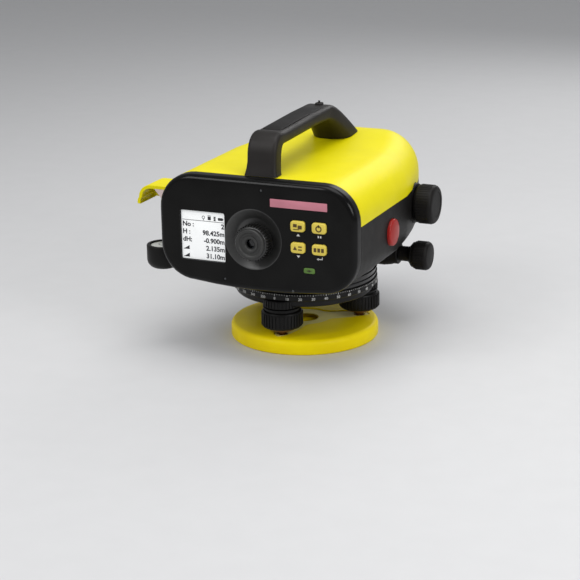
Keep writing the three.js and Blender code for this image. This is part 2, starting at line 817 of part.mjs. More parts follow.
// Lower housing: the flanks and bottom, the turret that covers the drive, both knob bosses,
// the pocket of the measuring button and the battery tub.
function lowerHousing() {
  const below = block(wide, long, [-tall, splitZ - seat / 2]);
  const centre = [0, 0, 0];
  const skirt = bar(skirtRadius, skirtBottom, turretTop + turretFloor, "z", centre, fineSides);
  const ledges = skirtLedgeShares.map((share) => {
    const low = skirtBottom + share * skirtHeight;
    return bar(skirtRadius + skirtLedge, low, low + skirtLedgeHeight, "z", centre, fineSides);
  });
  const cavity = bar(turretInner, skirtBottom - overrun, turretTop, "z", centre, fineSides);
  const bearing = bar(spindleRadius + running, turretTop - overrun, spindleTop + overrun, "z");
  const driveAt = [0, driveY, driveZ];
  const driveBossRadius = driveShaftRadius + driveBossWall;
  const driveBoss = bar(driveBossRadius, turretInner / 2, driveBossEnd, "x", driveAt);
  const driveBore = bar(driveShaftRadius + running, 0, driveKnobReach, "x", driveAt, coarseSides);
  const bossFace = focusKnobBack - running;
  const focusAt = [0, focusY, focusZ];
  const boss = bar(focusBoss, bossFace - focusBossDepth, bossFace, "x", focusAt, sides);
  const focusBore = bar(focusShaftRadius + running, 0, focusKnobReach, "x", focusAt, coarseSides);
  const tubOuter = {
    x: [-housingHalfWidth, tubInside.x[1] + tubWall],
    y: grown(tubInside.y, tubWall),
    z: grown(tubInside.z, tubWall),
  };
  const tub = block(tubOuter.x, tubOuter.y, tubOuter.z).intersect(outerForm);
  const tubHollow = block([-2 * housingHalfWidth, tubInside.x[1]], tubInside.y, tubInside.z);
  const wellRadius = buttonRadius + buttonPocketWall;
  const wellFloor = buttonFlank - buttonStemLength;
  const wellBack = wellFloor - housingWall;
  const buttonWell = bar(wellRadius, wellBack, buttonFlank, "x", buttonAt).intersect(outerForm);
  const buttonBore = bar(buttonRadius + running, wellFloor, buttonFlank + overrun, "x", buttonAt);
  const stemBore = bar(buttonStem + running, 0, buttonFlank, "x", buttonAt);
  const added = joined(shell.intersect(below), skirt, ...ledges, driveBoss, boss, tub, buttonWell);
  const bores = [driveBore, focusBore, buttonBore, stemBore];
  return cut(added, cavity, bearing, tubHollow, hoodOpening(), ...bores);
}

// The round opening in the nose that the objective hood stands in.
function hoodOpening() {
  const [rear, front] = [noseReach - 2 * noseHalfWidth, noseReach + overrun];
  return bar(hoodRadius + seat, rear, front, "y", [0, 0, axisZ], fineSides);
}

// Upper housing: the yellow cover, cut away round the focus boss.
function upperHousing() {
  const above = block(wide, long, [splitZ + seat / 2, tall]);
  const [inner, outer] = [focusKnobBack - 2 * focusBossDepth, focusKnobReach];
  const bossRoom = bar(focusBoss + running, inner, outer, "x", [0, focusY, focusZ], sides);
  return cut(shell.intersect(above), bossRoom, hoodOpening());
}

// Openings in the panel, each a little larger than what stands in it.
const displaySize = [displayWidth, displayHeight, displayCorner];
const keySize = [keyWidth, keyHeight, keyRound];
const lampSize = [lampWidth, lampHeight, lampRound];
const displayAt = [-displayCentre, axisZ - displayDrop];
const stripAt = [stripCentre, axisZ + stripRise];
const keyPlaces = [
  ["key_upper_left", -1, 1],
  ["key_upper_right", 1, 1],
  ["key_lower_left", -1, -1],
  ["key_lower_right", 1, -1],
].map(([name, across, up]) => ({
  name,
  at: [keyBlockCentre + (across * keyPitchAcross) / 2, axisZ + keyBlockRise + (up * keyPitchUp) / 2],
}));
const lampAt = [keyBlockCentre, axisZ + keyBlockRise + keyPitchUp / 2 - lampDrop];

// Rear panel: a dished plate with a rounded rim, hollow behind.
function rearPanel() {
  const sizes = (grow) => housingSizes(0, grow);
  const steps = innerSteps;
  const sections = [];
  for (let i = 0; i <= steps; i++) {
    const angle = ((Math.PI / 2) * i) / steps;
    const [forward, inward] = [1 - Math.sin(angle), 1 - Math.cos(angle)];
    sections.push([panelRear + panelRound * forward, -panelRound * inward]);
  }
  sections.push([panelFront, 0]);
  const ordered = sections.sort((a, b) => a[0] - b[0]);
  const skin = (list) =>
    loft(list.map(([y, grow]) => crossSection(sizes(grow)).map(([x, z]) => new THREE.Vector3(x, y, z))));
  const body = skin(ordered);
  const hollow = skin([[plateBack, -panelRimWall], [panelFront + overrun, -panelRimWall]]);
  const dish = turned(
    [
      [0, panelRear - overrun],
      [dishRadius, panelRear - overrun],
      [dishRadius, panelRear],
      [dishFloorRadius, panelRear + dishDepth],
      [0, panelRear + dishDepth],
    ],
    "y",
    [0, 0, axisZ],
  );
  const through = [panelRear - overrun, panelFront];
  const hole = (width, height, round, at, room) =>
    plate(width + 2 * room, height + 2 * room, round + room, at);
  const window = prism(hole(...displaySize, displayAt, 0), ...through, "y", 0, edgeSteps);
  const keys = keyPlaces.map(({ at }) =>
    prism(hole(...keySize, at, running), ...through, "y", 0, edgeSteps),
  );
  const lamp = prism(hole(...lampSize, lampAt, seat), ...through, "y", 0, edgeSteps);
  const stripShape = hole(stripWidth, stripHeight, 0, stripAt, seat);
  const strip = prism(stripShape, panelRear - overrun, panelRear + stripDepth, "y", 0, plainSteps);
  const eye = bar(barrelRadius + seat, ...through, "y", [0, 0, axisZ]);
  return cut(body, hollow, dish, window, ...keys, lamp, strip, eye);
}

function displayWindow() {
  const size = plate(displayWidth - 2 * seat, displayHeight - 2 * seat, displayCorner - seat, displayAt);
  return prism(size, panelRear + displaySink, plateBack, "y", 0, edgeSteps);
}

function displayModule() {
  const [cx, cz] = displayAt;
  const [w, h] = [displayWidth / 2 + moduleMargin, displayHeight / 2 + moduleMargin];
  return block([cx - w, cx + w], [plateBack + seat, plateBack + seat + moduleDepth], [cz - h, cz + h]);
}

function nameStrip() {
  const shape = plate(stripWidth, stripHeight, seat, stripAt);
  return prism(shape, panelRear - seat / 2, panelRear + stripDepth - seat, "y", 0, plainSteps);
}

function indicatorLamp() {
  return prism(plate(...lampSize, lampAt), panelRear - lampProud, plateBack, "y", 0, edgeSteps);
}

// A key: a bevelled cap that stands through the panel, with a flange behind that keeps it in.
function panelKey(at) {
  const back = plateBack + seat;
  const front = back + keyFlangeThickness;
  const lip = 2 * (keyFlange + running);
  const cap = prism(plate(...keySize, at), panelRear - keyProud, front, "y", keyBevel, edgeSteps);
  const flange = plate(keyWidth + lip, keyHeight + lip, keyRound, at);
  return joined(cap, prism(flange, back, front, "y", 0, edgeSteps));
}

function keyBoard() {
  const face = plateBack + seat + keyFlangeThickness + keyTravel + seat;
  const [halfX, halfZ] = [
    (keyPitchAcross + keyWidth) / 2 + keyBoardMargin,
    (keyPitchUp + keyHeight) / 2 + keyBoardMargin,
  ];
  const centre = axisZ + keyBlockRise;
  const board = block(
    [keyBlockCentre - halfX, keyBlockCentre + halfX],
    [face, face + boardThickness],
    [lampAt[1] - lampHeight, centre + halfZ],
  );
  const flangeEdge = centre + (keyPitchUp + keyHeight) / 2 + keyFlange + running;
  const rail = block(
    [keyBlockCentre - halfX, keyBlockCentre + halfX],
    [plateBack + seat, face + boardThickness / 2],
    [flangeEdge + running, centre + halfZ],
  );
  return joined(board, rail);
}

// Telescope tube: wide round the lenses, narrow to the rear, with a window for the pinion.
const tubeFront = noseReach - housingWall - 2 * seat;
const tubeRear = plateBack + seat;
const tubeBore = tubeRadius - tubeWall;
const rearBore = rearTubeRadius - rearTubeWall;
const rackLength = 2 * (focusTravel + rackSpare);
function telescopeTube() {
  const body = turned(
    [
      [rearBore, tubeRear],
      [rearTubeRadius, tubeRear],
      [rearTubeRadius, tubeShoulder - tubeCone],
      [tubeRadius, tubeShoulder],
      [tubeRadius, tubeFront],
      [tubeBore, tubeFront],
      [tubeBore, tubeShoulder],
      [rearBore, tubeShoulder - tubeCone],
    ],
    "y",
    [0, 0, axisZ],
    sides,
  );
  const half = rackLength / 2 + focusTravel + windowSpare;
  const window = block(
    [tubeBore / 2, tubeRadius + overrun],
    [focusY - half, focusY + half],
    [focusZ - pinionRadius - rackHeight - windowSpare, focusZ + pinionRadius + windowSpare],
  );
  return cut(body, window);
}

function objectiveHood() {
  const bore = hoodRadius - hoodWall;
  const rear = tubeFront + seat;
  return turned(
    [
      [bore, rear],
      [hoodRadius, rear],
      [hoodRadius, hoodReach - hoodBevel],
      [hoodRadius - hoodBevel, hoodReach],
      [hoodRadius - hoodLipWall, hoodReach],
      [bore, hoodReach - lensSetback],
    ],
    "y",
    [0, 0, axisZ],
    sides,
  );
}

// A biconvex lens on the optical axis, with its front face at a given Y.
function lens(radius, thickness, bulge, front) {
  const back = front - thickness;
  const steps = edgeSteps;
  const profile = [];
  for (let i = 0; i <= steps; i++) profile.push([(radius * i) / steps, back + bulge * (i / steps) ** 2]);
  for (let i = steps; i >= 0; i--) profile.push([(radius * i) / steps, front - bulge * (i / steps) ** 2]);
  return turned(profile, "y", [0, 0, axisZ]);
}

function objectiveLens() {
  const radius = hoodRadius - hoodWall - seat;
  return lens(radius, lensThickness, lensBulge, hoodReach - lensSetback);
}

// The focusing lens cell carries a rack at its right side, under the pinion.
const cellRear = focusY - focusCellLength / 2;
function focusCell() {
  const radius = tubeBore - running;
  const bore = radius - focusCellWall;
  const ring = turned(
    [
      [bore, cellRear],
      [radius, cellRear],
      [radius, cellRear + focusCellLength],
      [bore, cellRear + focusCellLength],
    ],
    "y",
    [0, 0, axisZ],
  );
  const rackTop = focusZ - pinionRadius - running;
  const rack = block(
    [bore + seat, tubeBore + rackWidth],
    [focusY - rackLength / 2, focusY + rackLength / 2],
    [rackTop - rackHeight, rackTop],
  );
  return joined(ring, rack);
}

function focusLens() {
  const radius = tubeBore - running - focusCellWall - seat;
  const bulge = focusLensThickness * bulgeShare;
  return lens(radius, focusLensThickness, bulge, focusY + focusLensThickness / 2);
}

// Compensator: a ring in the tube with a bridge from which the pendulum's mirror hangs.
const compensatorEnds = grown([compensatorCentre, compensatorCentre], compensatorLength / 2);
const bridgeTop = axisZ + tubeBore - seat - compensatorWall;
function compensatorFrame() {
  const radius = tubeBore - seat;
  const ring = turned(
    [
      [radius - compensatorWall, compensatorEnds[0]],
      [radius, compensatorEnds[0]],
      [radius, compensatorEnds[1]],
      [radius - compensatorWall, compensatorEnds[1]],
    ],
    "y",
    [0, 0, axisZ],
  );
  const bridge = block(
    [-pendulumWidth / 2, pendulumWidth / 2],
    [compensatorCentre - bridgeDepth / 2, compensatorCentre + bridgeDepth / 2],
    [bridgeTop - bridgeHeight, bridgeTop + compensatorWall / 2],
  );
  return joined(ring, bridge);
}

function pendulum() {
  const top = bridgeTop - bridgeHeight - running;
  const head = axisZ + pendulumHeight / 2 - pendulumStem;
  const weight = block(
    [-pendulumWidth / 2, pendulumWidth / 2],
    [compensatorCentre - pendulumDepth / 2, compensatorCentre + pendulumDepth / 2],
    [head - pendulumHeight, head],
  );
  const stem = block(
    [-pendulumStem / 2, pendulumStem / 2],
    [compensatorCentre - pendulumStem / 2, compensatorCentre + pendulumStem / 2],
    [head - pendulumStem, top],
  );
  const sight = bar(sightHole / 2, -noseReach, noseReach, "y", [0, 0, axisZ], coarseSides);
  return cut(joined(weight, stem), sight);
}

// Its four long edges bear on the bore.
function beamSplitter() {
  const half = (rearBore - seat) / Math.SQRT2;
  return block([-half, half], grown([splitterCentre, splitterCentre], half), grown([axisZ, axisZ], half));
}

function sensorBoard() {
  const half = sensorSide / 2;
  const face = -rearTubeRadius - seat;
  const across = grown([splitterCentre, splitterCentre], half);
  return block([face - sensorThickness, face], across, grown([axisZ, axisZ], half));
}

function mainBoard() {
  const low = housingBottom + bottomCrown + housingWall + seat;
  const thick = [mainBoardY, mainBoardY + boardThickness];
  const board = block([-mainBoardHalf, mainBoardHalf], thick, [low, low + mainBoardHeight]);
  return cut(board, bar(rearTubeRadius + seat, -noseReach, 0, "y", [0, 0, axisZ]));
}

// Eyepiece: a fixed barrel, the knurled dioptre ring round it, and the cup that slides in it.
function eyepieceBarrel() {
  return turned(
    [
      [barrelBore, -barrelReach],
      [barrelRadius, -barrelReach],
      [barrelRadius, tubeRear - seat],
      [barrelBore, tubeRear - seat],
    ],
    "y",
    [0, 0, axisZ],
  );
}

const dioptreBack = panelRear + dioptreSink;
function dioptreRing() {
  const knurl = new THREE.ExtrudeGeometry(ribbed(dioptreRadius, dioptreRib, dioptreRibs), {
    depth: dioptreLength - 2 * cupBevel,
    bevelThickness: cupBevel,
    bevelSize: cupBevel,
    bevelOffset: -cupBevel,
    bevelSegments: bevelSteps,
  });
  aim(knurl, "y").translate(0, dioptreBack - cupBevel, axisZ);
  const bore = bar(barrelRadius + running, -2 * noseReach, 0, "y", [0, 0, axisZ]);
  return cut(solid(knurl), bore);
}

function eyepieceCup() {
  const back = -cupReach + cupThickness;
  const sleeve = barrelBore - running;
  return turned(
    [
      [cupMouth, -cupReach + cupBevel],
      [cupRadius / 2, -cupReach + cupBevel],
      [cupRadius - cupBevel, -cupReach],
      [cupRadius, -cupReach + cupBevel],
      [cupRadius, back],
      [sleeve, back],
      [sleeve, back + cupSleeveLength],
      [cupBore, back + cupSleeveLength],
      [cupBore, back],
      [cupMouth, -cupReach + 2 * cupBevel],
    ],
    "y",
    [0, 0, axisZ],
  );
}

function eyeLens() {
  const front = -cupReach + cupThickness + eyeLensSetback;
  return lens(cupBore - seat, eyeLensThickness, eyeLensThickness * bulgeShare, front);
}

// A ribbed knob on the X axis with bevelled ends.
function ribbedKnob(radius, back, reach, at) {
  const knob = new THREE.ExtrudeGeometry(ribbed(radius, knobRibDepth, knobRibs), {
    depth: reach - back - 2 * knobBevel,
    bevelThickness: knobBevel,
    bevelSize: knobBevel,
    bevelOffset: -knobBevel,
    bevelSegments: bevelSteps,
  });
  aim(knob, "x").translate(back + knobBevel, ...at);
  return solid(knob);
}

function focusKnob() {
  const at = [focusY, focusZ];
  const knob = ribbedKnob(focusKnobRadius, focusKnobBack, focusKnobReach, at);
  const [open, blind] = [focusKnobBack - overrun, focusKnobBack + knobSocket];
  const socket = bar(focusShaftRadius + seat, open, blind, "x", [0, ...at], coarseSides);
  return cut(knob, socket);
}

function focusShaft() {
  const at = [0, focusY, focusZ];
  const end = focusKnobBack + knobSocket - seat;
  const shaft = bar(focusShaftRadius, tubeBore + pinionLength / 2, end, "x", at, coarseSides);
  const outline = ribbed(pinionRadius, pinionTooth, pinionTeeth);
  const pinion = prism(outline, tubeBore, tubeBore + pinionLength, "x");
  return joined(shaft, pinion.translate(at));
}

function driveKnob() {
  const at = [driveY, driveZ];
  const head = ribbedKnob(driveKnobRadius, driveKnobBack, driveKnobReach, at);
  const neck = bar(driveNeckRadius, driveNeckBack, driveKnobBack + knobBevel, "x", [0, ...at]);
  const [open, blind] = [driveNeckBack - overrun, driveKnobBack + knobSocket];
  const socket = bar(driveShaftRadius + seat, open, blind, "x", [0, ...at], coarseSides);
  return cut(joined(head, neck), socket);
}

// Worm shaft: the grooves of the worm are turned, two points to a crest.
function driveShaft() {
  const profile = [[0, -wormHalf - driveShaftEnd], [driveShaftRadius, -wormHalf - driveShaftEnd]];
  profile.push([driveShaftRadius, -wormHalf]);
  const pitch = (2 * wormHalf) / wormGrooves;
  for (let i = 0; i < wormGrooves; i++) {
    const start = -wormHalf + i * pitch;
    const [rise, fall] = wormCrestShares.map((share) => start + share * pitch);
    profile.push([wormRadius - wormGroove, start], [wormRadius, rise], [wormRadius, fall]);
  }
  const end = driveKnobBack + knobSocket - seat;
  profile.push([wormRadius - wormGroove, wormHalf], [driveShaftRadius, wormHalf]);
  profile.push([driveShaftRadius, end], [0, end]);
  return turned(profile, "x", [0, driveY, driveZ], coarseSides);
}

// Measuring button: a domed cap with a stem that goes through the housing.
function measureButton() {
  const face = buttonFlank + buttonProud;
  const back = buttonFlank - buttonStemLength + buttonTravel + running;
  return turned(
    [
      [0, back - buttonStemLength],
      [buttonStem, back - buttonStemLength],
      [buttonStem, back],
      [buttonRadius, back],
      [buttonRadius, face - buttonBevel],
      [buttonRadius - buttonBevel, face - buttonBevel * buttonDomeShare],
      [0, face],
    ],
    "x",
    buttonAt,
  );
}

// Handle: rounded sections along its middle line in the YZ plane. Each section has a centre,
// the direction that the handle runs in there, and its half sizes across and along the view.
function handleSections() {
  const barMid = handleTop - barThickness / 2;
  const rearTop = -legBack + legLean;
  const leanAngle = Math.atan2(handleRise, legLean);
  const footLow = housingTop - footSink;
  const bend = barThickness * bendShare;
  const bendDrop = legThickness * bendDropShare;
  const sections = [
    [-legBack, footLow, leanAngle, legThickness / 2, handleHalfWidth],
    [rearTop - legLean / 2, barMid - bend, leanAngle, legThickness / 2, handleHalfWidth],
    [rearTop, barMid - bendDrop, leanAngle * bendShares[0], legThickness / 2, handleHalfWidth],
    [rearTop + bend / 2, barMid, leanAngle * bendShares[1], barThickness / 2, handleHalfWidth],
    [0, barMid, 0, barThickness / 2, handleHalfWidth],
  ];
  const outer = new THREE.QuadraticBezierCurve(
    new THREE.Vector2(barFront, handleTop),
    new THREE.Vector2(barFront + barThickness, handleTop),
    new THREE.Vector2(frontFootOuter, footLow),
  );
  const inner = new THREE.QuadraticBezierCurve(
    new THREE.Vector2(barInnerFront, handleTop - barThickness),
    new THREE.Vector2(barInnerFront + barThickness, handleTop - barThickness),
    new THREE.Vector2(frontFootInner, footLow),
  );
  for (let i = 0; i <= legSteps; i++) {
    const [high, low] = [outer.getPoint(i / legSteps), inner.getPoint(i / legSteps)];
    const middle = high.clone().add(low).divideScalar(2);
    const across = high.clone().sub(low);
    const width = handleHalfWidth + (frontFootHalfWidth - handleHalfWidth) * (i / legSteps);
    sections.push([middle.x, middle.y, Math.atan2(-across.x, across.y), across.length() / 2, width]);
  }
  return sections;
}

function handleForm() {
  const round = handleRound;
  return loft(
    handleSections().map(([y, z, angle, halfThick, halfWide]) => {
      const points = [];
      arc(points, halfWide - round, halfThick - round, round, 0, 1);
      arc(points, round - halfWide, halfThick - round, round, 1, 2);
      arc(points, round - halfWide, round - halfThick, round, 2, 3);
      arc(points, halfWide - round, round - halfThick, round, 3, 4);
      return points.map(
        ([across, up]) => new THREE.Vector3(across, y - up * Math.sin(angle), z + up * Math.cos(angle)),
      );
    }),
  );
}

const stripEnds = [-legBack + legLean + barThickness, barFront * stripShare];
function handle() {
  const channel = block(
    [-stripTopHalfWidth - stripGap, stripTopHalfWidth + stripGap],
    grown(stripEnds, stripGap),
    [handleTop - stripTopThickness, handleTop + overrun],
  );
  const sightBase = handleTop - barThickness / 2;
  const sight = block(
    [-sightHalfWidth, sightHalfWidth],
    [barFront - sightLength / 2, barFront + sightLength / 2],
    [sightBase, handleTop + sightHeight],
  );
  return cut(joined(handleForm(), sight), channel, clearForm);
}

function handleStrip() {
  const length = stripEnds[1] - stripEnds[0];
  const round = stripTopHalfWidth * stripRoundShare;
  const shape = plate(2 * stripTopHalfWidth, length, round, [0, stripEnds[0] + length / 2]);
  const bottom = handleTop - stripTopThickness + seat;
  return prism(shape, bottom, handleTop + seat, "z", 0, edgeSteps);
}

// Round level: a cup on the left flank, joined to it by a web.
function levelHolder() {
  const low = levelTop - levelHeight;
  const profile = [[0, low]];
  for (let i = 0; i <= edgeSteps; i++) {
    const angle = -Math.PI / 2 + ((Math.PI / 2) * i) / edgeSteps;
    const [out, up] = [Math.cos(angle) - 1, Math.sin(angle) + 1];
    profile.push([levelRadius + levelRound * out, low + levelRound * up]);
  }
  profile.push([levelRadius, levelTop], [0, levelTop]);
  const cup = turned(profile, "z", [levelX, levelY, 0]);
  const web = block(
    [levelX, -housingHalfWidth / 2],
    [levelY - webHalf, levelY + webHalf],
    [low + levelRound, levelTop - vialWall],
  );
  const [floor, mouth] = [levelTop - vialDepth, levelTop + overrun];
  const pocket = bar(levelRadius - vialWall, floor, mouth, "z", [levelX, levelY, 0]);
  return cut(joined(cup, web), pocket, clearForm);
}

function levelVial() {
  const radius = levelRadius - vialWall - seat;
  const low = levelTop - vialDepth + seat;
  const top = levelTop - seat;
  return turned(
    [
      [0, low],
      [radius, low],
      [radius, top - vialDome],
      [radius * domeShares[0], top - vialDome * domeShares[1]],
      [0, top],
    ],
    "z",
    [levelX, levelY, 0],
  );
}

// Mirror hood: a curved roof over the round level with an outer lip and a front wall.
const hoodTopZ = axisZ + mirrorHoodTop;
const hoodLeft = -housingHalfWidth - hoodProjection;
const hoodEnds = [levelY - mirrorHoodLength / 2, levelY + mirrorHoodLength / 2];
function hoodOutline(inset, closed) {
  const top = hoodTopZ - inset;
  const [shoulder, left] = [hoodLeft + mirrorHoodFlare + inset, hoodLeft + inset];
  const lip = hoodTopZ - mirrorHoodLip;
  const round = mirrorHoodRound - inset;
  const [bend, middle] = [top - round, (top - round + lip) / 2];
  const shape = new THREE.Shape();
  if (closed) {
    shape.moveTo(left, lip);
    shape.quadraticCurveTo(shoulder, middle, shoulder, bend);
    shape.absarc(shoulder + round, bend, round, Math.PI, Math.PI / 2, true);
    shape.lineTo(-housingHalfWidth / 2, top);
    return shape;
  }
  shape.moveTo(-housingHalfWidth / 2, top);
  shape.lineTo(shoulder + round, top);
  shape.absarc(shoulder + round, bend, round, Math.PI / 2, Math.PI);
  shape.quadraticCurveTo(shoulder, middle, left, lip);
  return shape;
}

function mirrorHood() {
  const outer = hoodOutline(0, false).getPoints(cornerSteps);
  const inner = hoodOutline(mirrorHoodWall, true).getPoints(cornerSteps);
  const roof = new THREE.Shape([...outer, ...inner]);
  const wall = hoodOutline(mirrorHoodWall / 2, false);
  wall.lineTo(hoodLeft + mirrorHoodFlare + mirrorHoodWall, hoodTopZ - mirrorHoodFront);
  wall.lineTo(-housingHalfWidth / 2, hoodTopZ - mirrorHoodFront);
  const front = prism(wall, hoodEnds[1] - mirrorHoodWall, hoodEnds[1], "y");
  return cut(joined(prism(roof, ...hoodEnds, "y"), front), clearForm);
}

function bubbleMirror() {
  const left = hoodLeft + mirrorHoodFlare + mirrorHoodRound;
  const right = -housingHalfWidth - seat;
  const [rear, front] = [hoodEnds[0] + mirrorHoodWall, hoodEnds[1] - mirrorHoodWall - seat];
  const [high, low] = [hoodTopZ - mirrorHoodWall - seat, hoodTopZ - mirrorHoodFront];
  const shape = new THREE.Shape([
    new THREE.Vector2(rear, high),
    new THREE.Vector2(front, low),
    new THREE.Vector2(front, low + mirrorThickness * Math.SQRT2),
    new THREE.Vector2(rear + mirrorThickness * Math.SQRT2, high),
  ]);
  return prism(shape, left, right, "x");
}

// Batteries: each cell has its contact tip at one end.
function batteryCell(column, row, flip) {
  const [rear, front] = [-cellLength / 2, cellLength / 2 - cellTip];
  const profile = [[0, rear], [cellRadius, rear], [cellRadius, front], [cellTipRadius, front]];
  profile.push([cellTipRadius, cellLength / 2], [0, cellLength / 2]);
  const aimed = flip ? profile.map(([r, y]) => [r, -y]) : profile;
  return turned(aimed, "y", [cellColumns[column], cellsY, cellRows[row]], coarseSides);
}

function batteryHolder() {
  const outer = {
    x: [cellColumns[1] - cellRadius / 2, tubInside.x[1] - seat],
    y: grown(tubInside.y, -seat),
    z: grown(tubInside.z, -seat),
  };
  const inside = [outer.x[0] - overrun, outer.x[1] - holderWall];
  const inner = block(inside, grown(cellEnds, seat), grown(tubInside.z, overrun));
  return cut(block(outer.x, outer.y, outer.z), inner);
}

// Battery door: a curved plate that lies on the flank and swings up about its top edge.
const doorLow = tubInside.z[0] - doorMargin;
const hingeZ = tubInside.z[1] + doorMargin;
const hingeX = -(housingHalfWidth + seat + hingeRadius);
const doorEnds = grown(tubInside.y, doorMargin);
const doorOuterForm = housingForm(seat + doorThickness, -rearReach);
const lugStarts = [doorEnds[0], doorEnds[1] - knuckleLength];

function batteryDoor() {
  const region = block([-2 * housingHalfWidth, -housingHalfWidth / 2], doorEnds, [doorLow, hingeZ]);
  const skin = cut(doorOuterForm, clearForm).intersect(region);
  const inner = grown(doorEnds, -knuckleLength - running);
  const knuckle = bar(hingeRadius, ...inner, "y", [hingeX, 0, hingeZ], coarseSides);
  const notches = lugStarts.map((start) =>
    block(
      [hingeX - 2 * hingeRadius, -housingHalfWidth / 2],
      grown([start, start + knuckleLength], running),
      [hingeZ - hingeRadius - running, hingeZ + overrun],
    ),
  );
  return joined(cut(skin, ...notches), knuckle);
}

// Fixed knuckles stand on the flank at both ends of each door knuckle.
function hingeLugs() {
  return lugStarts.map((start) =>
    joined(
      bar(hingeRadius, start, start + knuckleLength, "y", [hingeX, 0, hingeZ], coarseSides),
      block(
        [hingeX, -housingHalfWidth + housingWall / 2],
        [start, start + knuckleLength],
        [hingeZ + seat, hingeZ + hingeRadius],
      ),
    ),
  );
}

function doorLatch() {
  const z = (tubInside.z[0] + tubInside.z[1]) / 2;
  const back = -(housingHalfWidth + 2 * seat + doorThickness);
  return block(
    [back - latchProud, back],
    [cellsY - latchWidth / 2, cellsY + latchWidth / 2],
    [z, z + latchHeight],
  );
}

piece("base_plate", basePlate(), finish.baseYellow);
piece("spring_plate", springPlate(), finish.steel);
piece("tribrach", tribrach(), finish.black);
footPlaces.forEach((place, i) => {
  piece(`foot_screw_${i + 1}`, footScrew(place), finish.brass);
  piece(`foot_wheel_${i + 1}`, footWheel(place), finish.black);
});
piece("circle_ring", circleRing(), finish.black);
piece("worm_wheel", wormWheel(), finish.brass);
piece("spindle", spindle(), finish.steel);
piece("lower_housing", lowerHousing().add(joined(...hingeLugs())), finish.satin);
piece("upper_housing", upperHousing(), finish.yellow);
piece("rear_panel", rearPanel(), finish.gloss);
piece("display_window", displayWindow(), finish.screen);
piece("display_module", displayModule(), finish.board);
piece("name_strip", nameStrip(), finish.strip);
piece("indicator_lamp", indicatorLamp(), finish.lamp);
for (const { name, at } of keyPlaces) piece(name, panelKey(at), finish.keys);
piece("key_board", keyBoard(), finish.board);
piece("telescope_tube", telescopeTube(), finish.aluminium);
piece("objective_hood", objectiveHood(), finish.black);
piece("objective_lens", objectiveLens(), finish.glass);
piece("focus_cell", focusCell(), finish.aluminium);
piece("focus_lens", focusLens(), finish.glass);
piece("compensator_frame", compensatorFrame(), finish.aluminium);
piece("pendulum", pendulum(), finish.brass);
piece("beam_splitter", beamSplitter(), finish.glass);
piece("sensor_board", sensorBoard(), finish.board);
piece("main_board", mainBoard(), finish.board);
piece("eyepiece_barrel", eyepieceBarrel(), finish.aluminium);
piece("dioptre_ring", dioptreRing(), finish.black);
piece("eyepiece_cup", eyepieceCup(), finish.black);
piece("eye_lens", eyeLens(), finish.glass);
piece("focus_knob", focusKnob(), finish.satin);
piece("focus_shaft", focusShaft(), finish.steel);
piece("drive_knob", driveKnob(), finish.satin);
piece("drive_shaft", driveShaft(), finish.steel);
piece("measure_button", measureButton(), finish.red);
piece("handle", handle(), finish.satin);
piece("handle_strip", handleStrip(), finish.satin);
piece("level_holder", levelHolder(), finish.black);
piece("level_vial", levelVial(), finish.vial);
piece("mirror_hood", mirrorHood(), finish.yellow);
piece("bubble_mirror", bubbleMirror(), finish.mirror);
[0, 1].forEach((column) =>
  [0, 1].forEach((row) =>
    piece(
      `cell_${2 * column + row + 1}`,
      batteryCell(column, row, (column + row) % 2 === 1),
      finish.cell,
    ),
  ),
);
piece("battery_holder", batteryHolder(), finish.black);
piece("battery_door", batteryDoor(), finish.satin);
piece("door_latch", doorLatch(), finish.black);

const box = new THREE.Box3().setFromObject(level, true);
level.position.set(-(box.min.x + box.max.x) / 2, -(box.min.y + box.max.y) / 2, -box.min.z);
const part = new THREE.Group();
part.add(level);

export default part;
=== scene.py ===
# %% [markdown]
# # A digital level on its levelling base
#
# A surveyor's level stands on three screws. The telescope looks through a housing made of two
# plastic shells: a yellow one above and a black one below. The operator stands behind the dished
# black panel with the eyepiece, the display and four keys.
#
# The CAD model gives the size and place of every node. This lesson dresses it: most shapes that
# show are made again with smooth forms, and each keeps the place of the node it stands for.

# %% Load the frame and measure its box
import math

import bmesh
import bpy
from mathutils import Matrix, Vector


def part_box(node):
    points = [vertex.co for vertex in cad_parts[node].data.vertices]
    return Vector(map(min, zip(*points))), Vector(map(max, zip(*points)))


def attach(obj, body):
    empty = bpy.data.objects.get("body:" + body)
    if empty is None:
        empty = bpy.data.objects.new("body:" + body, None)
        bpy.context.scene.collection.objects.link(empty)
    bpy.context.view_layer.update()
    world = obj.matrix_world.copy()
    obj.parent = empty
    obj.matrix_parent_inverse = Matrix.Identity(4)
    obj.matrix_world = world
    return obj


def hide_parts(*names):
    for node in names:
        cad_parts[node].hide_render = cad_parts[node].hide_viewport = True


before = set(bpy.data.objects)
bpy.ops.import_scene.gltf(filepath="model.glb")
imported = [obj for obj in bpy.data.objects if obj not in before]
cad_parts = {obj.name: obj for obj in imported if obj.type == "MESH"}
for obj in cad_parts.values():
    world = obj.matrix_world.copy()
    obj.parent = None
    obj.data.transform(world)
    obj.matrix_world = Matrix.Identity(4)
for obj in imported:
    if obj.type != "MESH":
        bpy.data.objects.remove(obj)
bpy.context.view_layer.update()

# %% [markdown]
# ## One measuring system
#
# Sizes in this lesson are millimetres about the turning axis of the instrument, because a level is
# drawn round that axis. Every finished mesh is scaled to metres and moved to its place once, so all
# objects stay at the origin. `span` reads the place of a CAD node in the same system, and `middle`
# gives the middle of a node along the axes that are named.

# %% Millimetres about the turning axis
mm = 0.001
full_turn = 2 * math.pi
quarter = math.pi / 2

spindle_low, spindle_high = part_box("spindle")
axis_x = (spindle_low.x + spindle_high.x) / 2
axis_y = (spindle_low.y + spindle_high.y) / 2
to_place = Matrix.Translation((axis_x, axis_y, 0)) @ Matrix.Scale(mm, 4)
from_place = to_place.inverted()


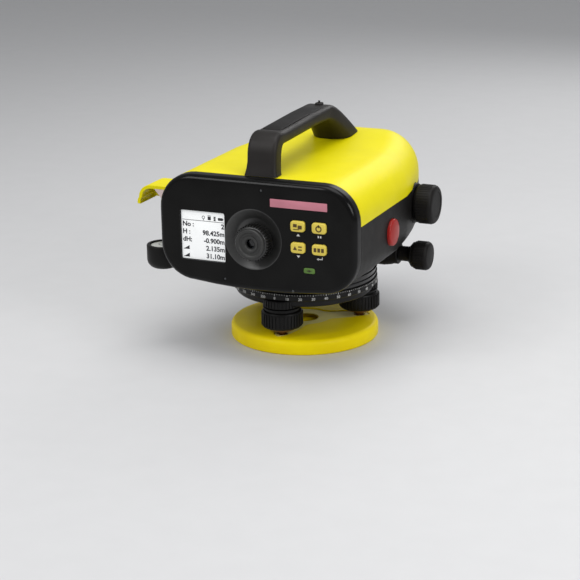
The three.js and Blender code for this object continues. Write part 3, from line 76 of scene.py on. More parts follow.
def span(node):
    """Lowest and highest corner of a CAD node, in millimetres about the turning axis."""
    low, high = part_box(node)
    return from_place @ low, from_place @ high


def middle(node, axes):
    """The middle of a CAD node along each axis named in axes, such as xz."""
    low, high = span(node)
    return tuple((getattr(low, axis) + getattr(high, axis)) / 2 for axis in axes)


sight_z = middle("telescope_tube", "z")[0]
print(f"turning axis at {axis_x / mm:.2f}, {axis_y / mm:.2f} mm; line of sight at {sight_z:.2f} mm")

# %% [markdown]
# ## Finishes
#
# A moulded or painted surface is never one flat value. The colour drifts a little, the gloss drifts
# with it, and a fine grain catches the light. Three noise textures on Object coordinates do this for
# every finish here, because they need no unwrapping and stay put when the part moves. The sizes are
# in millimetres, so the grain has its real scale.

# %% A helper for a finish
cloud_mm, smear_mm = 24, 7
coat_rough, colour_lift, bump_strength = 0.12, 0.02, 0.5


def speckle(tree, place, size_mm, detail):
    """A noise texture whose spots have a real size."""
    noise = tree.nodes.new("ShaderNodeTexNoise")
    noise.inputs["Scale"].default_value = 1 / (size_mm * mm)
    noise.inputs["Detail"].default_value = detail
    tree.links.new(place.outputs["Object"], noise.inputs["Vector"])
    return noise.outputs["Fac"]


def finish(name, colour, rough, spread=0.06, drift=0.04, grain=0.0, grain_mm=0.5, metal=0.0,
           coat=0.0, shine=0.5):
    """A material with colour drift, gloss drift and grain. Grain is the height of the bumps in mm."""
    look = bpy.data.materials.new(name)
    look.use_nodes = True
    look.diffuse_color = (*colour, 1)
    tree = look.node_tree
    shader = tree.nodes["Principled BSDF"]
    shader.inputs["Metallic"].default_value = metal
    shader.inputs["Specular IOR Level"].default_value = shine
    shader.inputs["Coat Weight"].default_value = coat
    shader.inputs["Coat Roughness"].default_value = coat_rough
    place = tree.nodes.new("ShaderNodeTexCoord")
    ramp = tree.nodes.new("ShaderNodeValToRGB")
    dark, light = ramp.color_ramp.elements
    dark.position, light.position = 0.3, 0.7
    dark.color = (*[c * (1 - drift) for c in colour], 1)
    light.color = (*[min(1, c * (1 + drift) + drift * colour_lift) for c in colour], 1)
    tree.links.new(speckle(tree, place, cloud_mm, 4), ramp.inputs["Fac"])
    tree.links.new(ramp.outputs["Color"], shader.inputs["Base Color"])
    gloss = tree.nodes.new("ShaderNodeMapRange")
    gloss.inputs["To Min"].default_value = max(0.02, rough - spread)
    gloss.inputs["To Max"].default_value = min(1, rough + spread)
    tree.links.new(speckle(tree, place, smear_mm, 5), gloss.inputs["Value"])
    tree.links.new(gloss.outputs["Result"], shader.inputs["Roughness"])
    if grain:
        bump = tree.nodes.new("ShaderNodeBump")
        bump.inputs["Strength"].default_value = bump_strength
        bump.inputs["Distance"].default_value = grain * mm
        tree.links.new(speckle(tree, place, grain_mm, 2), bump.inputs["Height"])
        tree.links.new(bump.outputs["Normal"], shader.inputs["Normal"])
    return look


# %% Paint and coloured plastic
yellow_shell = finish("yellow_shell", (0.755, 0.665, 0.0006), 0.44, drift=0.03, grain=0.02,
                      grain_mm=0.9, coat=0.02, shine=0.13)
yellow_base = finish("yellow_base", (0.99, 0.75, 0.001), 0.46, drift=0.06, grain=0.04,
                     grain_mm=1.2, coat=0.02, shine=0.13)
# The spring leaf is painted in the base's yellow; its paler, greyer tone is a painted sheen of light on the
# recess.
leaf_paint_and_sheen = finish("leaf_paint_and_sheen", (0.80, 0.70, 0.18), 0.5, drift=0.12, grain=0.04,
                    grain_mm=1.2, shine=0.3)
red_cap = finish("red_cap", (0.33, 0.010, 0.007), 0.38, drift=0.1, grain=0.02, coat=0.1, shine=0.25)
key_yellow = finish("key_yellow", (0.70, 0.55, 0.075), 0.42, drift=0.05, grain=0.02)
lamp_green = finish("lamp_green", (0.085, 0.17, 0.030), 0.35, drift=0.12, shine=0.3)
strip_pink = finish("strip_pink", (0.54, 0.20, 0.25), 0.4, drift=0.08, shine=0.3)

# %% [markdown]
# The blacks take most of the work. On a photographed black part the base colour is close to nothing
# and what the eye reads is the reflection, so each black differs from the next in its gloss and in
# how much it reflects: the shell is dull, the panel's rim is polished, and the rubber is softest.

# %% Black plastic and rubber
black_shell = finish("black_shell", (0.0052, 0.0046, 0.0042), 0.46, drift=0.15, grain=0.06, shine=0.12)
skirt_gloss = finish("skirt_gloss", (0.006, 0.006, 0.006), 0.24, drift=0.15, coat=0.2, shine=0.45)
panel_black = finish("panel_black", (0.0024, 0.0023, 0.0021), 0.34, drift=0.12, grain=0.03,
                     grain_mm=0.7, coat=0.03, shine=0.13)
rim_gloss = finish("rim_gloss", (0.0020, 0.0020, 0.0020), 0.19, drift=0.12, coat=0.04, shine=0.14)
# Painted light: the dish's base colour is several times the panel's, so its lower wall reads as a lit
# crescent; its gloss is a real satin.
dish_satin_painted_light = finish("dish_satin_painted_light", (0.015, 0.015, 0.014), 0.44, drift=0.12, grain=0.03,
                    grain_mm=0.7, shine=0.9)
grip_black = finish("grip_black", (0.011, 0.0090, 0.0080), 0.50, drift=0.15, grain=0.07,
                    grain_mm=0.45, shine=0.25)
black_plastic = finish("black_plastic", (0.0045, 0.0042, 0.0039), 0.42, drift=0.12, grain=0.05,
                       shine=0.2)
cast_black = finish("cast_black", (0.0055, 0.0050, 0.0047), 0.42, drift=0.12, grain=0.08,
                    grain_mm=0.8, shine=0.22)
rubber = finish("rubber", (0.0058, 0.0050, 0.0046), 0.52, drift=0.15, grain=0.05, grain_mm=0.4,
                shine=0.17)
cup_rubber = finish("cup_rubber", (0.026, 0.026, 0.025), 0.46, drift=0.12, grain=0.04,
                    grain_mm=0.4, shine=0.4)
knurl_black = finish("knurl_black", (0.007, 0.0067, 0.0063), 0.30, drift=0.15, grain=0.04, shine=0.6)

# %% Print and the display
print_dark = finish("print_dark", (0.03, 0.024, 0.01), 0.5)
print_brown = finish("print_brown", (0.085, 0.050, 0.012), 0.45, drift=0.15, shine=0.3)
print_white = finish("print_white", (0.62, 0.62, 0.60), 0.5)
display_ink = finish("display_ink", (0.02, 0.02, 0.025), 0.4)
display_white = finish("display_white", (0.86, 0.87, 0.86), 0.30, drift=0.01)
# Painted glow: a faint emission makes the pale display read bright, though nothing in it is a lamp.
painted_glow = display_white.node_tree.nodes["Principled BSDF"].inputs
painted_glow["Emission Color"].default_value = (0.95, 0.97, 1.0, 1)
painted_glow["Emission Strength"].default_value = 0.22

# %% Metal and inner parts
steel = finish("steel", (0.52, 0.52, 0.53), 0.30, metal=1.0, grain=0.01)
brass = finish("brass", (0.48, 0.30, 0.10), 0.30, metal=1.0, grain=0.01)
bronze = finish("bronze", (0.17, 0.075, 0.028), 0.30, metal=1.0, grain=0.02)
dark_metal = finish("dark_metal", (0.10, 0.105, 0.11), 0.38, metal=0.9, grain=0.02)
board_green = finish("board_green", (0.012, 0.085, 0.03), 0.45, drift=0.15)
cell_can = finish("cell_can", (0.09, 0.10, 0.11), 0.35, metal=0.5)
# Painted reflection: the mirror is tinted pink to stand in for the pinkish light it shows inside the hood.
mirror_painted_pink_reflection = finish("mirror_painted_pink_reflection", (0.78, 0.62, 0.60), 0.08, spread=0.03, metal=0.9)
vial_white = finish("vial_white", (0.70, 0.72, 0.68), 0.2, coat=0.3)


# %% A helper for clear glass
def clear(name, colour, rough=0.03):
    """Glass that lets light through, with a slight drift in its gloss and no grain."""
    look = finish(name, colour, rough, spread=0.01, drift=0.02)
    shader = look.node_tree.nodes["Principled BSDF"]
    shader.inputs["Transmission Weight"].default_value = 0.9
    shader.inputs["IOR"].default_value = 1.5
    return look


plain_glass = clear("plain_glass", (0.80, 0.86, 0.88))
eye_glass = clear("eye_glass", (0.03, 0.035, 0.045))
coated_glass = clear("coated_glass", (0.40, 0.44, 0.62), 0.05)
print(len(bpy.data.materials), "finishes")

# %% [markdown]
# ## From bmesh to a finished piece
#
# Every new piece ends the same way: doubles are merged, normals are made to face outwards, the mesh
# goes to its place in metres, and faces are shaded smooth except where an edge is really sharp. The
# piece then rides on a body and hides the node that it stands for.

# %% Settle a mesh, and carve one with another
weld, sliver = 0.002, 0.001


def in_scene(name, data):
    """A new object for a mesh, curve, lamp or camera, linked to the scene."""
    thing = bpy.data.objects.new(name, data)
    bpy.context.scene.collection.objects.link(thing)
    return thing


def settle(bm, name, body, look, stands_for=(), sharp=32, soft_edge=0.0):
    """Turns a bmesh in millimetres into an object in its place. Soft_edge rounds sharp edges, in mm."""
    bmesh.ops.remove_doubles(bm, verts=bm.verts, dist=weld)
    bmesh.ops.dissolve_degenerate(bm, edges=bm.edges, dist=sliver)
    bmesh.ops.recalc_face_normals(bm, faces=bm.faces)
    bm.transform(to_place)
    mesh = bpy.data.meshes.new(name)
    bm.to_mesh(mesh)
    bm.free()
    mesh.shade_smooth()
    mesh.set_sharp_from_angle(angle=math.radians(sharp))
    piece = in_scene(name, mesh)
    piece.data.materials.append(look)
    if soft_edge:
        rounding = piece.modifiers.new("soft edges", "BEVEL")
        rounding.width = soft_edge * mm
        rounding.segments = 2
        rounding.limit_method = "ANGLE"
        rounding.angle_limit = math.radians(sharp)
        rounding.use_clamp_overlap = True
    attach(piece, body)
    if stands_for:
        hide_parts(*stands_for)
    return piece


def carved(body_bm, *tools, how="DIFFERENCE"):
    """Cuts, joins or intersects one bmesh with others, and gives back a new bmesh."""
    scratch = []
    for bm in (body_bm, *tools):
        bmesh.ops.remove_doubles(bm, verts=bm.verts, dist=weld)
        bmesh.ops.recalc_face_normals(bm, faces=bm.faces)
        mesh = bpy.data.meshes.new("scratch")
        bm.to_mesh(mesh)
        bm.free()
        scratch.append(in_scene("scratch", mesh))
    for tool in scratch[1:]:
        step = scratch[0].modifiers.new("carve", "BOOLEAN")
        step.operation = how
        step.solver = "EXACT"
        step.object = tool
    seen = scratch[0].evaluated_get(bpy.context.evaluated_depsgraph_get())
    result = bmesh.new()
    result.from_mesh(seen.to_mesh())
    for thing in scratch:
        bpy.data.objects.remove(thing)
    return result


def merged(*parts):
    """Several shapes in one bmesh."""
    whole = parts[0]
    for part in parts[1:]:
        mesh = bpy.data.meshes.new("scratch")
        part.to_mesh(mesh)
        part.free()
        whole.from_mesh(mesh)
        bpy.data.meshes.remove(mesh)
    return whole


# %% Shapes that the pieces start from
def to_axis(bm, axis):
    """Turns what was made about Z to lie about X or Y."""
    if axis == "X":
        bm.transform(Matrix.Rotation(quarter, 4, "Y"))
    if axis == "Y":
        bm.transform(Matrix.Rotation(-quarter, 4, "X"))
    return bm


def rounded(bm, geom, offset, segments=3, affect="EDGES"):
    """Rounds edges, or the corners of a flat face."""
    bmesh.ops.bevel(bm, geom=geom, offset=offset, segments=segments, profile=0.5, affect=affect,
                    material=-1)


def pulled_up(bm, move):
    """Extrudes every face of a flat shape and moves the copy, which gives a closed solid."""
    made = bmesh.ops.extrude_face_region(bm, geom=bm.faces[:])["geom"]
    far_side = [v for v in made if isinstance(v, bmesh.types.BMVert)]
    bmesh.ops.translate(bm, vec=move, verts=far_side)


def arc(centre, radius, start, end, steps):
    """Points on an arc as (radius, height) of a profile, from one angle to another."""
    angles = [start + (end - start) * i / steps for i in range(steps + 1)]
    return [(centre[0] + radius * math.cos(a), centre[1] + radius * math.sin(a)) for a in angles]


def turned(profile, steps=96, axis="Z", at=(0, 0, 0)):
    """Spins a profile of (radius, height) round an axis, as on a lathe."""
    bm = bmesh.new()
    chain = [bm.verts.new((radius, 0, height)) for radius, height in profile]
    edges = [bm.edges.new(pair) for pair in zip(chain, chain[1:])]
    bmesh.ops.spin(bm, geom=chain + edges, cent=(0, 0, 0), axis=(0, 0, 1), angle=full_turn,
                   steps=steps, use_merge=True)
    bmesh.ops.remove_doubles(bm, verts=bm.verts, dist=sliver)
    to_axis(bm, axis)
    bm.transform(Matrix.Translation(at))
    return bm


def ring_profile(inner, outer, low, high, edge=0.6):
    """A closed profile for a ring with small chamfers on its outer edges."""
    return [
        (inner, low), (outer - edge, low), (outer, low + edge), (outer, high - edge),
        (outer - edge, high), (inner, high), (inner, low),
    ]


def ribbed_drum(radius, rib, count, low, high, edge=1.0, axis="Z", at=(0, 0, 0)):
    """A drum whose side stands out in narrow ribs: every second side face is pushed out."""
    bm = bmesh.new()
    core = radius - rib
    bmesh.ops.create_cone(bm, cap_ends=True, segments=2 * count, radius1=core, radius2=core,
                          depth=high - low)
    bmesh.ops.translate(bm, verts=bm.verts, vec=(0, 0, (low + high) / 2))
    rounded(bm, [e for e in bm.edges if abs(e.verts[0].co.z - e.verts[1].co.z) < sliver], edge)
    sides = [f for f in bm.faces if f.calc_area() > 0 and abs(f.normal.z) < 0.05]
    sides.sort(key=lambda f: math.atan2(f.calc_center_median().y, f.calc_center_median().x))
    pushed = bmesh.ops.inset_individual(bm, faces=sides[::2], thickness=0.12, depth=rib)
    print(f"  drum of radius {radius} with {len(sides) // 2} ribs, {len(pushed['faces'])} rim faces")
    to_axis(bm, axis)
    bm.transform(Matrix.Translation(at))
    return bm


def slab(width, height, corner, low, high, edge=0.0, steps=6, at=(0, 0, 0), axis="Z"):
    """A rounded plate: a grid of one face, its corners rounded, pulled up to a thickness."""
    bm = bmesh.new()
    bmesh.ops.create_grid(bm, x_segments=1, y_segments=1, size=0.5)
    bmesh.ops.scale(bm, vec=(width, height, 1), verts=bm.verts)
    bmesh.ops.translate(bm, vec=(0, 0, low), verts=bm.verts)
    if corner:
        rounded(bm, bm.verts[:], corner, steps, "VERTICES")
    pulled_up(bm, (0, 0, high - low))
    if edge:
        rounded(bm, [e for e in bm.edges if all(abs(v.co.z - high) < sliver for v in e.verts)], edge)
    bmesh.ops.recalc_face_normals(bm, faces=bm.faces)
    if axis == "Y":
        bm.transform(Matrix.Rotation(quarter, 4, "X"))
    bm.transform(Matrix.Translation(at))
    return bm


def brick(low, high):
    """A plain cutting block between two corners."""
    bm = bmesh.new()
    bmesh.ops.create_cube(bm, size=1)
    size = Vector(high) - Vector(low)
    bmesh.ops.scale(bm, vec=size, verts=bm.verts)
    bmesh.ops.translate(bm, vec=(Vector(high) + Vector(low)) / 2, verts=bm.verts)
    return bm


def rod(radius, low, high, axis="Z", at=(0, 0, 0), steps=64):
    """A plain round cutting rod."""
    return turned([(0, low), (radius, low), (radius, high), (0, high)], steps, axis, at)


# %% [markdown]
# ## The two housing shells
#
# On the real level the shells are injection moulded. Their section is a wide rounded rectangle
# that stays the same from the panel to the middle, and then draws in and rounds off towards the
# objective. One face of a grid is enough to start a section: two bevels round its four corners with
# two radii, and `bridge_loops` skins the row of sections.

# %% The section of the housing at one place
housing_half, housing_height = 78.5, 84.2
top_round, bottom_round, bottom_crown = 31, 27, 3
taper_start, nose_reach, flank_taper = 17, 103, 12
nose_half, nose_top, nose_bottom, nose_round = 36, 36, 30, 29
nose_fullness, crown_rise, axis_rise = 3.4, 10, 38.7
wall = 2.5
floor_z = sight_z - axis_rise
roof_z = floor_z + housing_height
split_z = sight_z + 15
floor_cuts = 5


def section_face(bm, steps):
    """The many-sided face of the section in hand. Each section loses its face before the next."""
    many_sided = [f for f in bm.faces if len(f.verts) > 4 * steps]
    return max(many_sided, key=lambda f: f.calc_center_median().y)


def housing_ring(bm, y, grow=0.0, steps=10):
    """One rounded section of the housing, as a loop of edges."""
    t = min(1, max(0, (y - taper_start) / (nose_reach + grow - taper_start)))
    fall = 1 - (1 - t**nose_fullness) ** (1 / nose_fullness)

    def blend(straight, nose):
        return straight + (nose - straight) * fall

    half = blend(housing_half - flank_taper * t, nose_half) + grow
    high = blend(roof_z + crown_rise * t**2, sight_z + nose_top) + grow
    low = blend(floor_z, sight_z - nose_bottom) - grow
    crown = bottom_crown * (1 - t)
    made = bmesh.ops.create_grid(bm, x_segments=1, y_segments=1, size=1)["verts"]
    for v in made:
        v.co = Vector((v.co.x * half, y, high if v.co.y > 0 else low + crown))
    uppers = [v for v in made if v.co.z == high]
    lowers = [v for v in made if v.co.z != high]
    for corners, radius in ((uppers, top_round), (lowers, bottom_round)):
        rounded(bm, corners, radius + (nose_round - radius) * t + grow, steps, "VERTICES")
    bm.faces.ensure_lookup_table()
    face = section_face(bm, steps)
    under = min(face.edges, key=lambda e: (e.verts[0].co + e.verts[1].co).z - 0.001 * e.calc_length())
    flat = abs(under.verts[0].co.x)
    bmesh.ops.subdivide_edges(bm, edges=[under], cuts=floor_cuts)
    face = section_face(bm, steps)
    for v in face.verts:
        if abs(v.co.x) < flat - 0.01 and v.co.z < low + crown + 0.01:
            v.co.z = low + crown * (v.co.x / flat) ** 2
    edges = list(face.edges)
    bmesh.ops.delete(bm, geom=[face], context="FACES_ONLY")
    return edges


def bridged(bm, loops):
    """Skins a row of loops and closes both ends."""
    for one, other in zip(loops, loops[1:]):
        bmesh.ops.bridge_loops(bm, edges=one + other)
    for end in (loops[0], loops[-1]):
        bmesh.ops.contextual_create(bm, geom=end)
    bmesh.ops.recalc_face_normals(bm, faces=bm.faces)
    return bm


def housing_body(rear, grow=0.0, stations=22):
    """The whole closed form of the housing, from a rear end to the nose."""
    bm = bmesh.new()
    places = [rear, (rear + taper_start) / 2, taper_start]
    reach = nose_reach + grow - taper_start
    places += [taper_start + reach * math.sin(quarter * i / stations) for i in range(1, stations + 1)]
    return bridged(bm, [housing_ring(bm, y, grow) for y in places])


# %% The yellow upper shell
panel_low, panel_high = span("rear_panel")
hood_low, hood_high = span("objective_hood")
hood_bore = (hood_high.x - hood_low.x) / 2 + 0.3
focus_at = middle("focus_shaft", "yz")
boss_radius = 15.7
shell_rear = panel_high.y + 0.4
far, seam = 200, 0.15


def sight_bore():
    """The opening in the nose, for the hood of the objective."""
    return rod(hood_bore, 40, 140, "Y", (0, 0, sight_z), 96)


def inner_form():
    """What the mould's core leaves hollow inside both shells."""
    return housing_body(shell_rear - 5, -wall, 10)


def fitted_to_cover():
    """The housing, a hair larger: what is set on the housing is cut back to it."""
    return housing_body(shell_rear - 3, 0.3)


upper = carved(
    housing_body(shell_rear),
    inner_form(),
    brick((-far, -far, -50), (far, far, split_z + seam)),
    rod(boss_radius + 0.5, 40, 120, "X", (0, *focus_at), 96),
    sight_bore(),
)
upper_shell = settle(upper, "upper_shell", "head", yellow_shell, ["upper_housing"], sharp=34)
print("upper shell", len(upper_shell.data.polygons), "faces")

# %% [markdown]
# ## The black lower shell
#
# The lower shell carries everything: the skirt that turns over the circle, the bosses of the two
# knobs, the well of the measuring button and the battery tub. Joining solids and cutting bores with
# boolean modifiers follows how the moulded part is drawn, so each boss is a body of its own first.

# %% Places on the lower shell
ring_low, ring_high = span("circle_ring")
skirt_radius, skirt_low, turret_roof = 56, ring_high.z + 0.4, 62.55
drive_at = middle("drive_shaft", "yz")
focus_knob_low, focus_knob_high = span("focus_knob")
drive_knob_low, drive_knob_high = span("drive_knob")
button_low, button_high = span("measure_button")
button_at = middle("measure_button", "yz")
button_radius = (button_high.z - button_low.z) / 2
door_low, door_high = span("battery_door")
hinge_radius, knuckle, tub_wall, tub_frame = 1.9, 9, 2, 3
hinge_x, hinge_z = door_low.x + hinge_radius, door_high.z - hinge_radius
tub_y = (door_low.y + tub_frame, door_high.y - tub_frame)
tub_z = (door_low.z + tub_frame, hinge_z - tub_frame)
tub_back = span("battery_holder")[1].x + 0.3
print(f"skirt from {skirt_low:.1f} mm, hinge of the door at {hinge_x:.1f}, {hinge_z:.1f} mm")

# %% The skirt with its two ledges
ledge_out, ledge_tall = 0.9, 1.6
ledges = []
for low in (skirt_low + 2.0, skirt_low + 6.1):
    for out, up in ((0, 0), (0.5, 0.15), (ledge_out, 0.5), (ledge_out, 1.1), (0.5, 1.45), (0, ledge_tall)):
        ledges.append((skirt_radius + out, low + up))
skirt_top = turret_roof + 2.5
skirt = turned(
    [(0, skirt_low), (skirt_radius - 0.4, skirt_low), (skirt_radius, skirt_low + 0.4), *ledges,
     (skirt_radius, skirt_top), (0, skirt_top)], 144)

# %% Bosses of the knobs, the button's well, the battery tub and the lugs of its door
drive_face = drive_knob_low.x - 0.4
drive_boss = turned(
    [(0, 26), (10.4, 26), (10.4, 50), (9.4, 56), (8.6, 58), (8.6, drive_face - 0.6), (8.0, drive_face),
     (0, drive_face)], 64, "X", (0, *drive_at))
boss_face = focus_knob_low.x - 0.4
boss_root = boss_face - 12
focus_boss = turned(
    [(0, boss_root), (boss_radius, boss_root), (boss_radius, boss_face - 1.2),
     (boss_radius - 0.4, boss_face - 0.4), (boss_radius - 1.2, boss_face), (0, boss_face)],
    96, "X", (0, *focus_at))
flank_x = button_high.x - 3.4
button_well = carved(
    rod(button_radius + 2, flank_x - 7.5, flank_x + 5, "X", (0, *button_at)),
    housing_body(shell_rear), how="INTERSECT")
tub = carved(
    brick((-90, tub_y[0] - tub_wall, tub_z[0] - tub_wall),
          (tub_back + tub_wall, tub_y[1] + tub_wall, tub_z[1] + tub_wall)),
    housing_body(shell_rear), how="INTERSECT")
lug_starts = (door_low.y, door_high.y - knuckle)
lugs = []
for y in lug_starts:
    lugs.append(rod(hinge_radius, y, y + knuckle, "Y", (hinge_x, 0, hinge_z), 32))
for y in lug_starts:
    lugs.append(brick((hinge_x, y, hinge_z + 0.3), (-77, y + knuckle, hinge_z + hinge_radius)))

# %% Join the bosses to the hollow shell and cut the bores
turret_bore, spindle_bore, drive_bore, focus_bore, button_bore = 52, 10.4, 3.0, 3.4, 6.4
lower_skin = carved(
    housing_body(shell_rear),
    inner_form(),
    brick((-far, -far, split_z - seam), (far, far, 300)))
lower_full = carved(lower_skin, skirt, drive_boss, focus_boss, button_well, tub, *lugs, how="UNION")
lower = carved(
    lower_full,
    rod(turret_bore, skirt_low - 3, turret_roof, steps=96),
    rod(spindle_bore, turret_roof - 3, turret_roof + 6),
    rod(drive_bore, 0, 90, "X", (0, *drive_at), 32),
    rod(focus_bore, 0, 100, "X", (0, *focus_at), 32),
    brick((-far, tub_y[0], tub_z[0]), (tub_back, tub_y[1], tub_z[1])),
    rod(button_radius + 0.4, flank_x - 5, flank_x + 6, "X", (0, *button_at)),
    rod(button_bore, 0, flank_x, "X", (0, *button_at), 32),
    sight_bore())
lower_shell = settle(lower, "lower_shell", "head", black_shell, ["lower_housing"], sharp=34)
lower_shell.data.materials.append(skirt_gloss)
for face in lower_shell.data.polygons:
    at = from_place @ face.center
    if math.hypot(at.x, at.y) < skirt_radius + 1 and at.z < turret_roof:
        face.material_index = 1
print("lower shell", len(lower_shell.data.polygons), "faces")

# %% [markdown]
# ## The operator's panel
#
# The panel is a thick plate with a full round all along its edge and a shallow dish round the eyepiece.
# Sections of the housing's own outline, each drawn in a little more than the one before, give the round. The
# dish is a turned cutter with a straight slope and small rounds at both ends, so its rim and floor run into
# the plate without a hard corner. The rim is polished and the dish is satin, so both get a finish of their
# own, face by face; the dish's colour is also lifted well above the panel's black as painted light, so that
# its lower wall reads as a lit crescent.

# %% Places on the panel
window_low, window_high = span("display_window")
window_mid = middle("display_window", "xz")
window_wide, window_tall = window_high.x - window_low.x, window_high.z - window_low.z
lamp_low, lamp_high = span("indicator_lamp")
lamp_at = middle("indicator_lamp", "xz")
strip_low, strip_high = span("name_strip")
strip_at = middle("name_strip", "xz")
key_names = ["key_upper_left", "key_upper_right", "key_lower_left", "key_lower_right"]
keys_at = {name: middle(name, "xz") for name in key_names}
face_y, front_y = panel_low.y, panel_high.y
plate_back = face_y + 6
on_sight = (0, 0, sight_z)
print("keys at", {name: [round(c, 1) for c in at] for name, at in keys_at.items()})

# %% The plate and its rounded edge
rim, rim_steps = 4.5, 8
rows = bmesh.new()
loops = []
for i in range(rim_steps + 1):
    angle = quarter * i / rim_steps
    loops.append(housing_ring(rows, face_y + rim * (1 - math.sin(angle)), -rim * (1 - math.cos(angle))))
loops.append(housing_ring(rows, front_y))
loops.sort(key=lambda loop: loop[0].verts[0].co.y)
plate = bridged(rows, loops)

frame_wide = 4
hollow = bmesh.new()
bridged(hollow, [housing_ring(hollow, y, -frame_wide) for y in (plate_back, front_y + 3)])


# %% The dish, and cutters for what is let into the panel
def in_view(at):
    """A place (x, z) on the panel, as a point in space."""
    return (at[0], 0, at[1])


def through(width, height, corner, at, deep=front_y + 1):
    """A cutter that goes through the panel, or stops at a depth."""
    stands_out = 5
    return slab(width, height, corner, -deep, stands_out - face_y, at=in_view(at), axis="Y")


dish_radius, dish_floor, dish_depth, dish_at = 22.9, 14.4, 5.0, (-2.0, sight_z + 0.9)
dish_back = face_y + dish_depth
slope = [
    (dish_radius, face_y), (dish_radius - 0.5, face_y + 0.08), (dish_radius - 1.1, face_y + 0.4),
    (dish_floor + 1.4, dish_back - 0.5), (dish_floor + 0.7, dish_back - 0.14), (dish_floor, dish_back),
]
dish_profile = [(0, face_y - 3), (dish_radius, face_y - 3), *slope, (0, dish_back)]
dish = turned(dish_profile, 128, "Y", in_view(dish_at))

key_width, key_height, key_round = 11, 7.9, 2.2
lamp_wide, lamp_tall, lamp_round = 8.8, 4.1, 1.4
strip_wide, strip_tall, strip_deep = 44.4, 6.0, 0.8
play, key_play, barrel_bore, screw_hole = 0.6, 0.8, 10.5, 1.1
screws_at = [(-25.5, floor_z + 7.2), (29.0, floor_z + 3.6), (5.0, roof_z - 7.5)]
cutters = [through(window_wide + play, window_tall + play, 1.5, window_mid)]
for at in keys_at.values():
    cutters.append(through(key_width + key_play, key_height + key_play, key_round + key_play / 2, at))
cutters.append(through(lamp_wide + play, lamp_tall + play, lamp_round + play / 2, lamp_at))
cutters.append(through(strip_wide + play, strip_tall + play, 0.3, strip_at, face_y + strip_deep))
cutters.append(rod(barrel_bore, -110, -70, "Y", on_sight))
for at in screws_at:
    cutters.append(rod(screw_hole, face_y - 3, face_y + 0.9, "Y", in_view(at), 24))

# %% The panel, with its polished rim and its satin dish in a painted lighter black
facing, let_in = 0.985, 0.03
panel_bm = carved(plate, hollow, dish, *cutters)
panel = settle(panel_bm, "panel", "head", panel_black, ["rear_panel"], sharp=30, soft_edge=0.25)
for look in (rim_gloss, dish_satin_painted_light):
    panel.data.materials.append(look)
for face in panel.data.polygons:
    at = from_place @ face.center
    if math.hypot(at.x - dish_at[0], at.z - dish_at[1]) < dish_radius and at.y > face_y + let_in:
        face.material_index = 2
    elif abs(face.normal.y) < facing and at.y < face_y + rim:
        face.material_index = 1
print("panel", len(panel.data.polygons), "faces")

# %% Screws in the panel's small holes
screw_profile = [(0, 0.55), (0.62, 0.3), (0.95, 0.5), (0.95, 0.85), (0, 0.85)]
for i, at in enumerate(screws_at):
    screw = turned([(r, face_y + deep) for r, deep in screw_profile], 24, "Y", in_view(at))
    settle(screw, f"panel_screw_{i + 1}", "head", dark_metal)

# %% [markdown]
# ## The display
#
# The display is a pale reflective liquid crystal behind a window, and it gets a faint painted glow so that
# it reads bright with no lamp inside. Its figures are text objects made into meshes a hair in front of the
# window, so they keep sharp edges at any distance. They are plain readings: a point number, heights and
# distances in metres.

# %% The window, and helpers for print on the panel
window_y = window_low.y
ink, ink_gap, display_gap = 0.04, 0.04, 0.05
window = slab(window_wide, window_tall, 1.2, -window_high.y, -window_y, edge=0.2,
              at=in_view(window_mid), axis="Y")
settle(window, "display_face", "head", display_white, ["display_window"])


def stood_up(bm, at, turn=0.0):
    """Turns a flat mark in its plane and stands it up to face the operator, at a place (x, z)."""
    bm.transform(Matrix.Rotation(turn, 4, "Z"))
    bm.transform(Matrix.Rotation(quarter, 4, "X"))
    bm.transform(Matrix.Translation(in_view(at)))
    return bm


def letters(text, height, at, side="LEFT", bold=0.0):
    """Figures as a flat mesh that faces the operator. At is (x, z) of the line's start, on the foot."""
    body_to_letter = 1.38
    curve = bpy.data.curves.new("figures", "FONT")
    curve.body = text
    curve.size = height * body_to_letter
    curve.align_x = side
    curve.offset = bold
    curve.extrude = ink
    curve.resolution_u = 3
    thing = in_scene("figures", curve)
    seen = thing.evaluated_get(bpy.context.evaluated_depsgraph_get())
    bm = bmesh.new()
    bm.from_mesh(seen.to_mesh())
    bpy.data.objects.remove(thing)
    return stood_up(bm, at)


def tile(width, height, at, corner=0.0, turn=0.0):
    """A small flat tile that faces the operator, for icons and rules."""
    return stood_up(slab(width, height, corner, -ink, ink, steps=3), at, turn)


def wedge(width, height, at, lean=0.5, turn=0.0):
    """A small triangle that faces the operator. Lean puts its tip right of the middle of its base."""
    bm = slab(width, height, 0, -ink, ink)
    for v in bm.verts:
        v.co.x = v.co.x if v.co.y < 0 else width * lean
    bmesh.ops.remove_doubles(bm, verts=bm.verts, dist=sliver)
    return stood_up(bm, at, turn)


def hoop(radius, thick, at):
    """A thin flat ring that faces the operator."""
    return turned(ring_profile(radius - thick, radius, -ink, ink, 0.01), 32, "Y", in_view(at))


def printed(parts, y, name, body, look):
    """Lays small flat shapes on a face that looks to the operator."""
    bm = merged(*parts)
    bmesh.ops.translate(bm, vec=(0, y, 0), verts=bm.verts)
    return settle(bm, name, body, look)


# %% The signs along the top of the display
left, right = window_mid[0] - window_wide / 2, window_mid[0] + window_wide / 2
head_z = window_mid[1] + window_tall / 2 - 4.9
bulb_x, store_x, staff_x, cell_x = right - 17.4, right - 12.6, right - 8.2, right - 3.6
marks = [tile(window_wide - 1.6, 0.35, (window_mid[0], head_z - 2.4))]
marks += [hoop(1.25, 0.4, (bulb_x, head_z + 0.4)), tile(0.5, 1.4, (bulb_x, head_z - 1.2))]
marks += [tile(2.6, 2.6, (store_x, head_z), 0.3), tile(2.6, 0.5, (store_x, head_z + 1.9))]
marks += [tile(2.0, 0.6, (staff_x, head_z + rung)) for rung in (-1.3, 0, 1.3)]
marks += [tile(0.6, 3.2, (staff_x, head_z))]
marks += [tile(3.9, 2.0, (cell_x, head_z), 0.4), tile(0.5, 1.0, (cell_x + 2.2, head_z))]

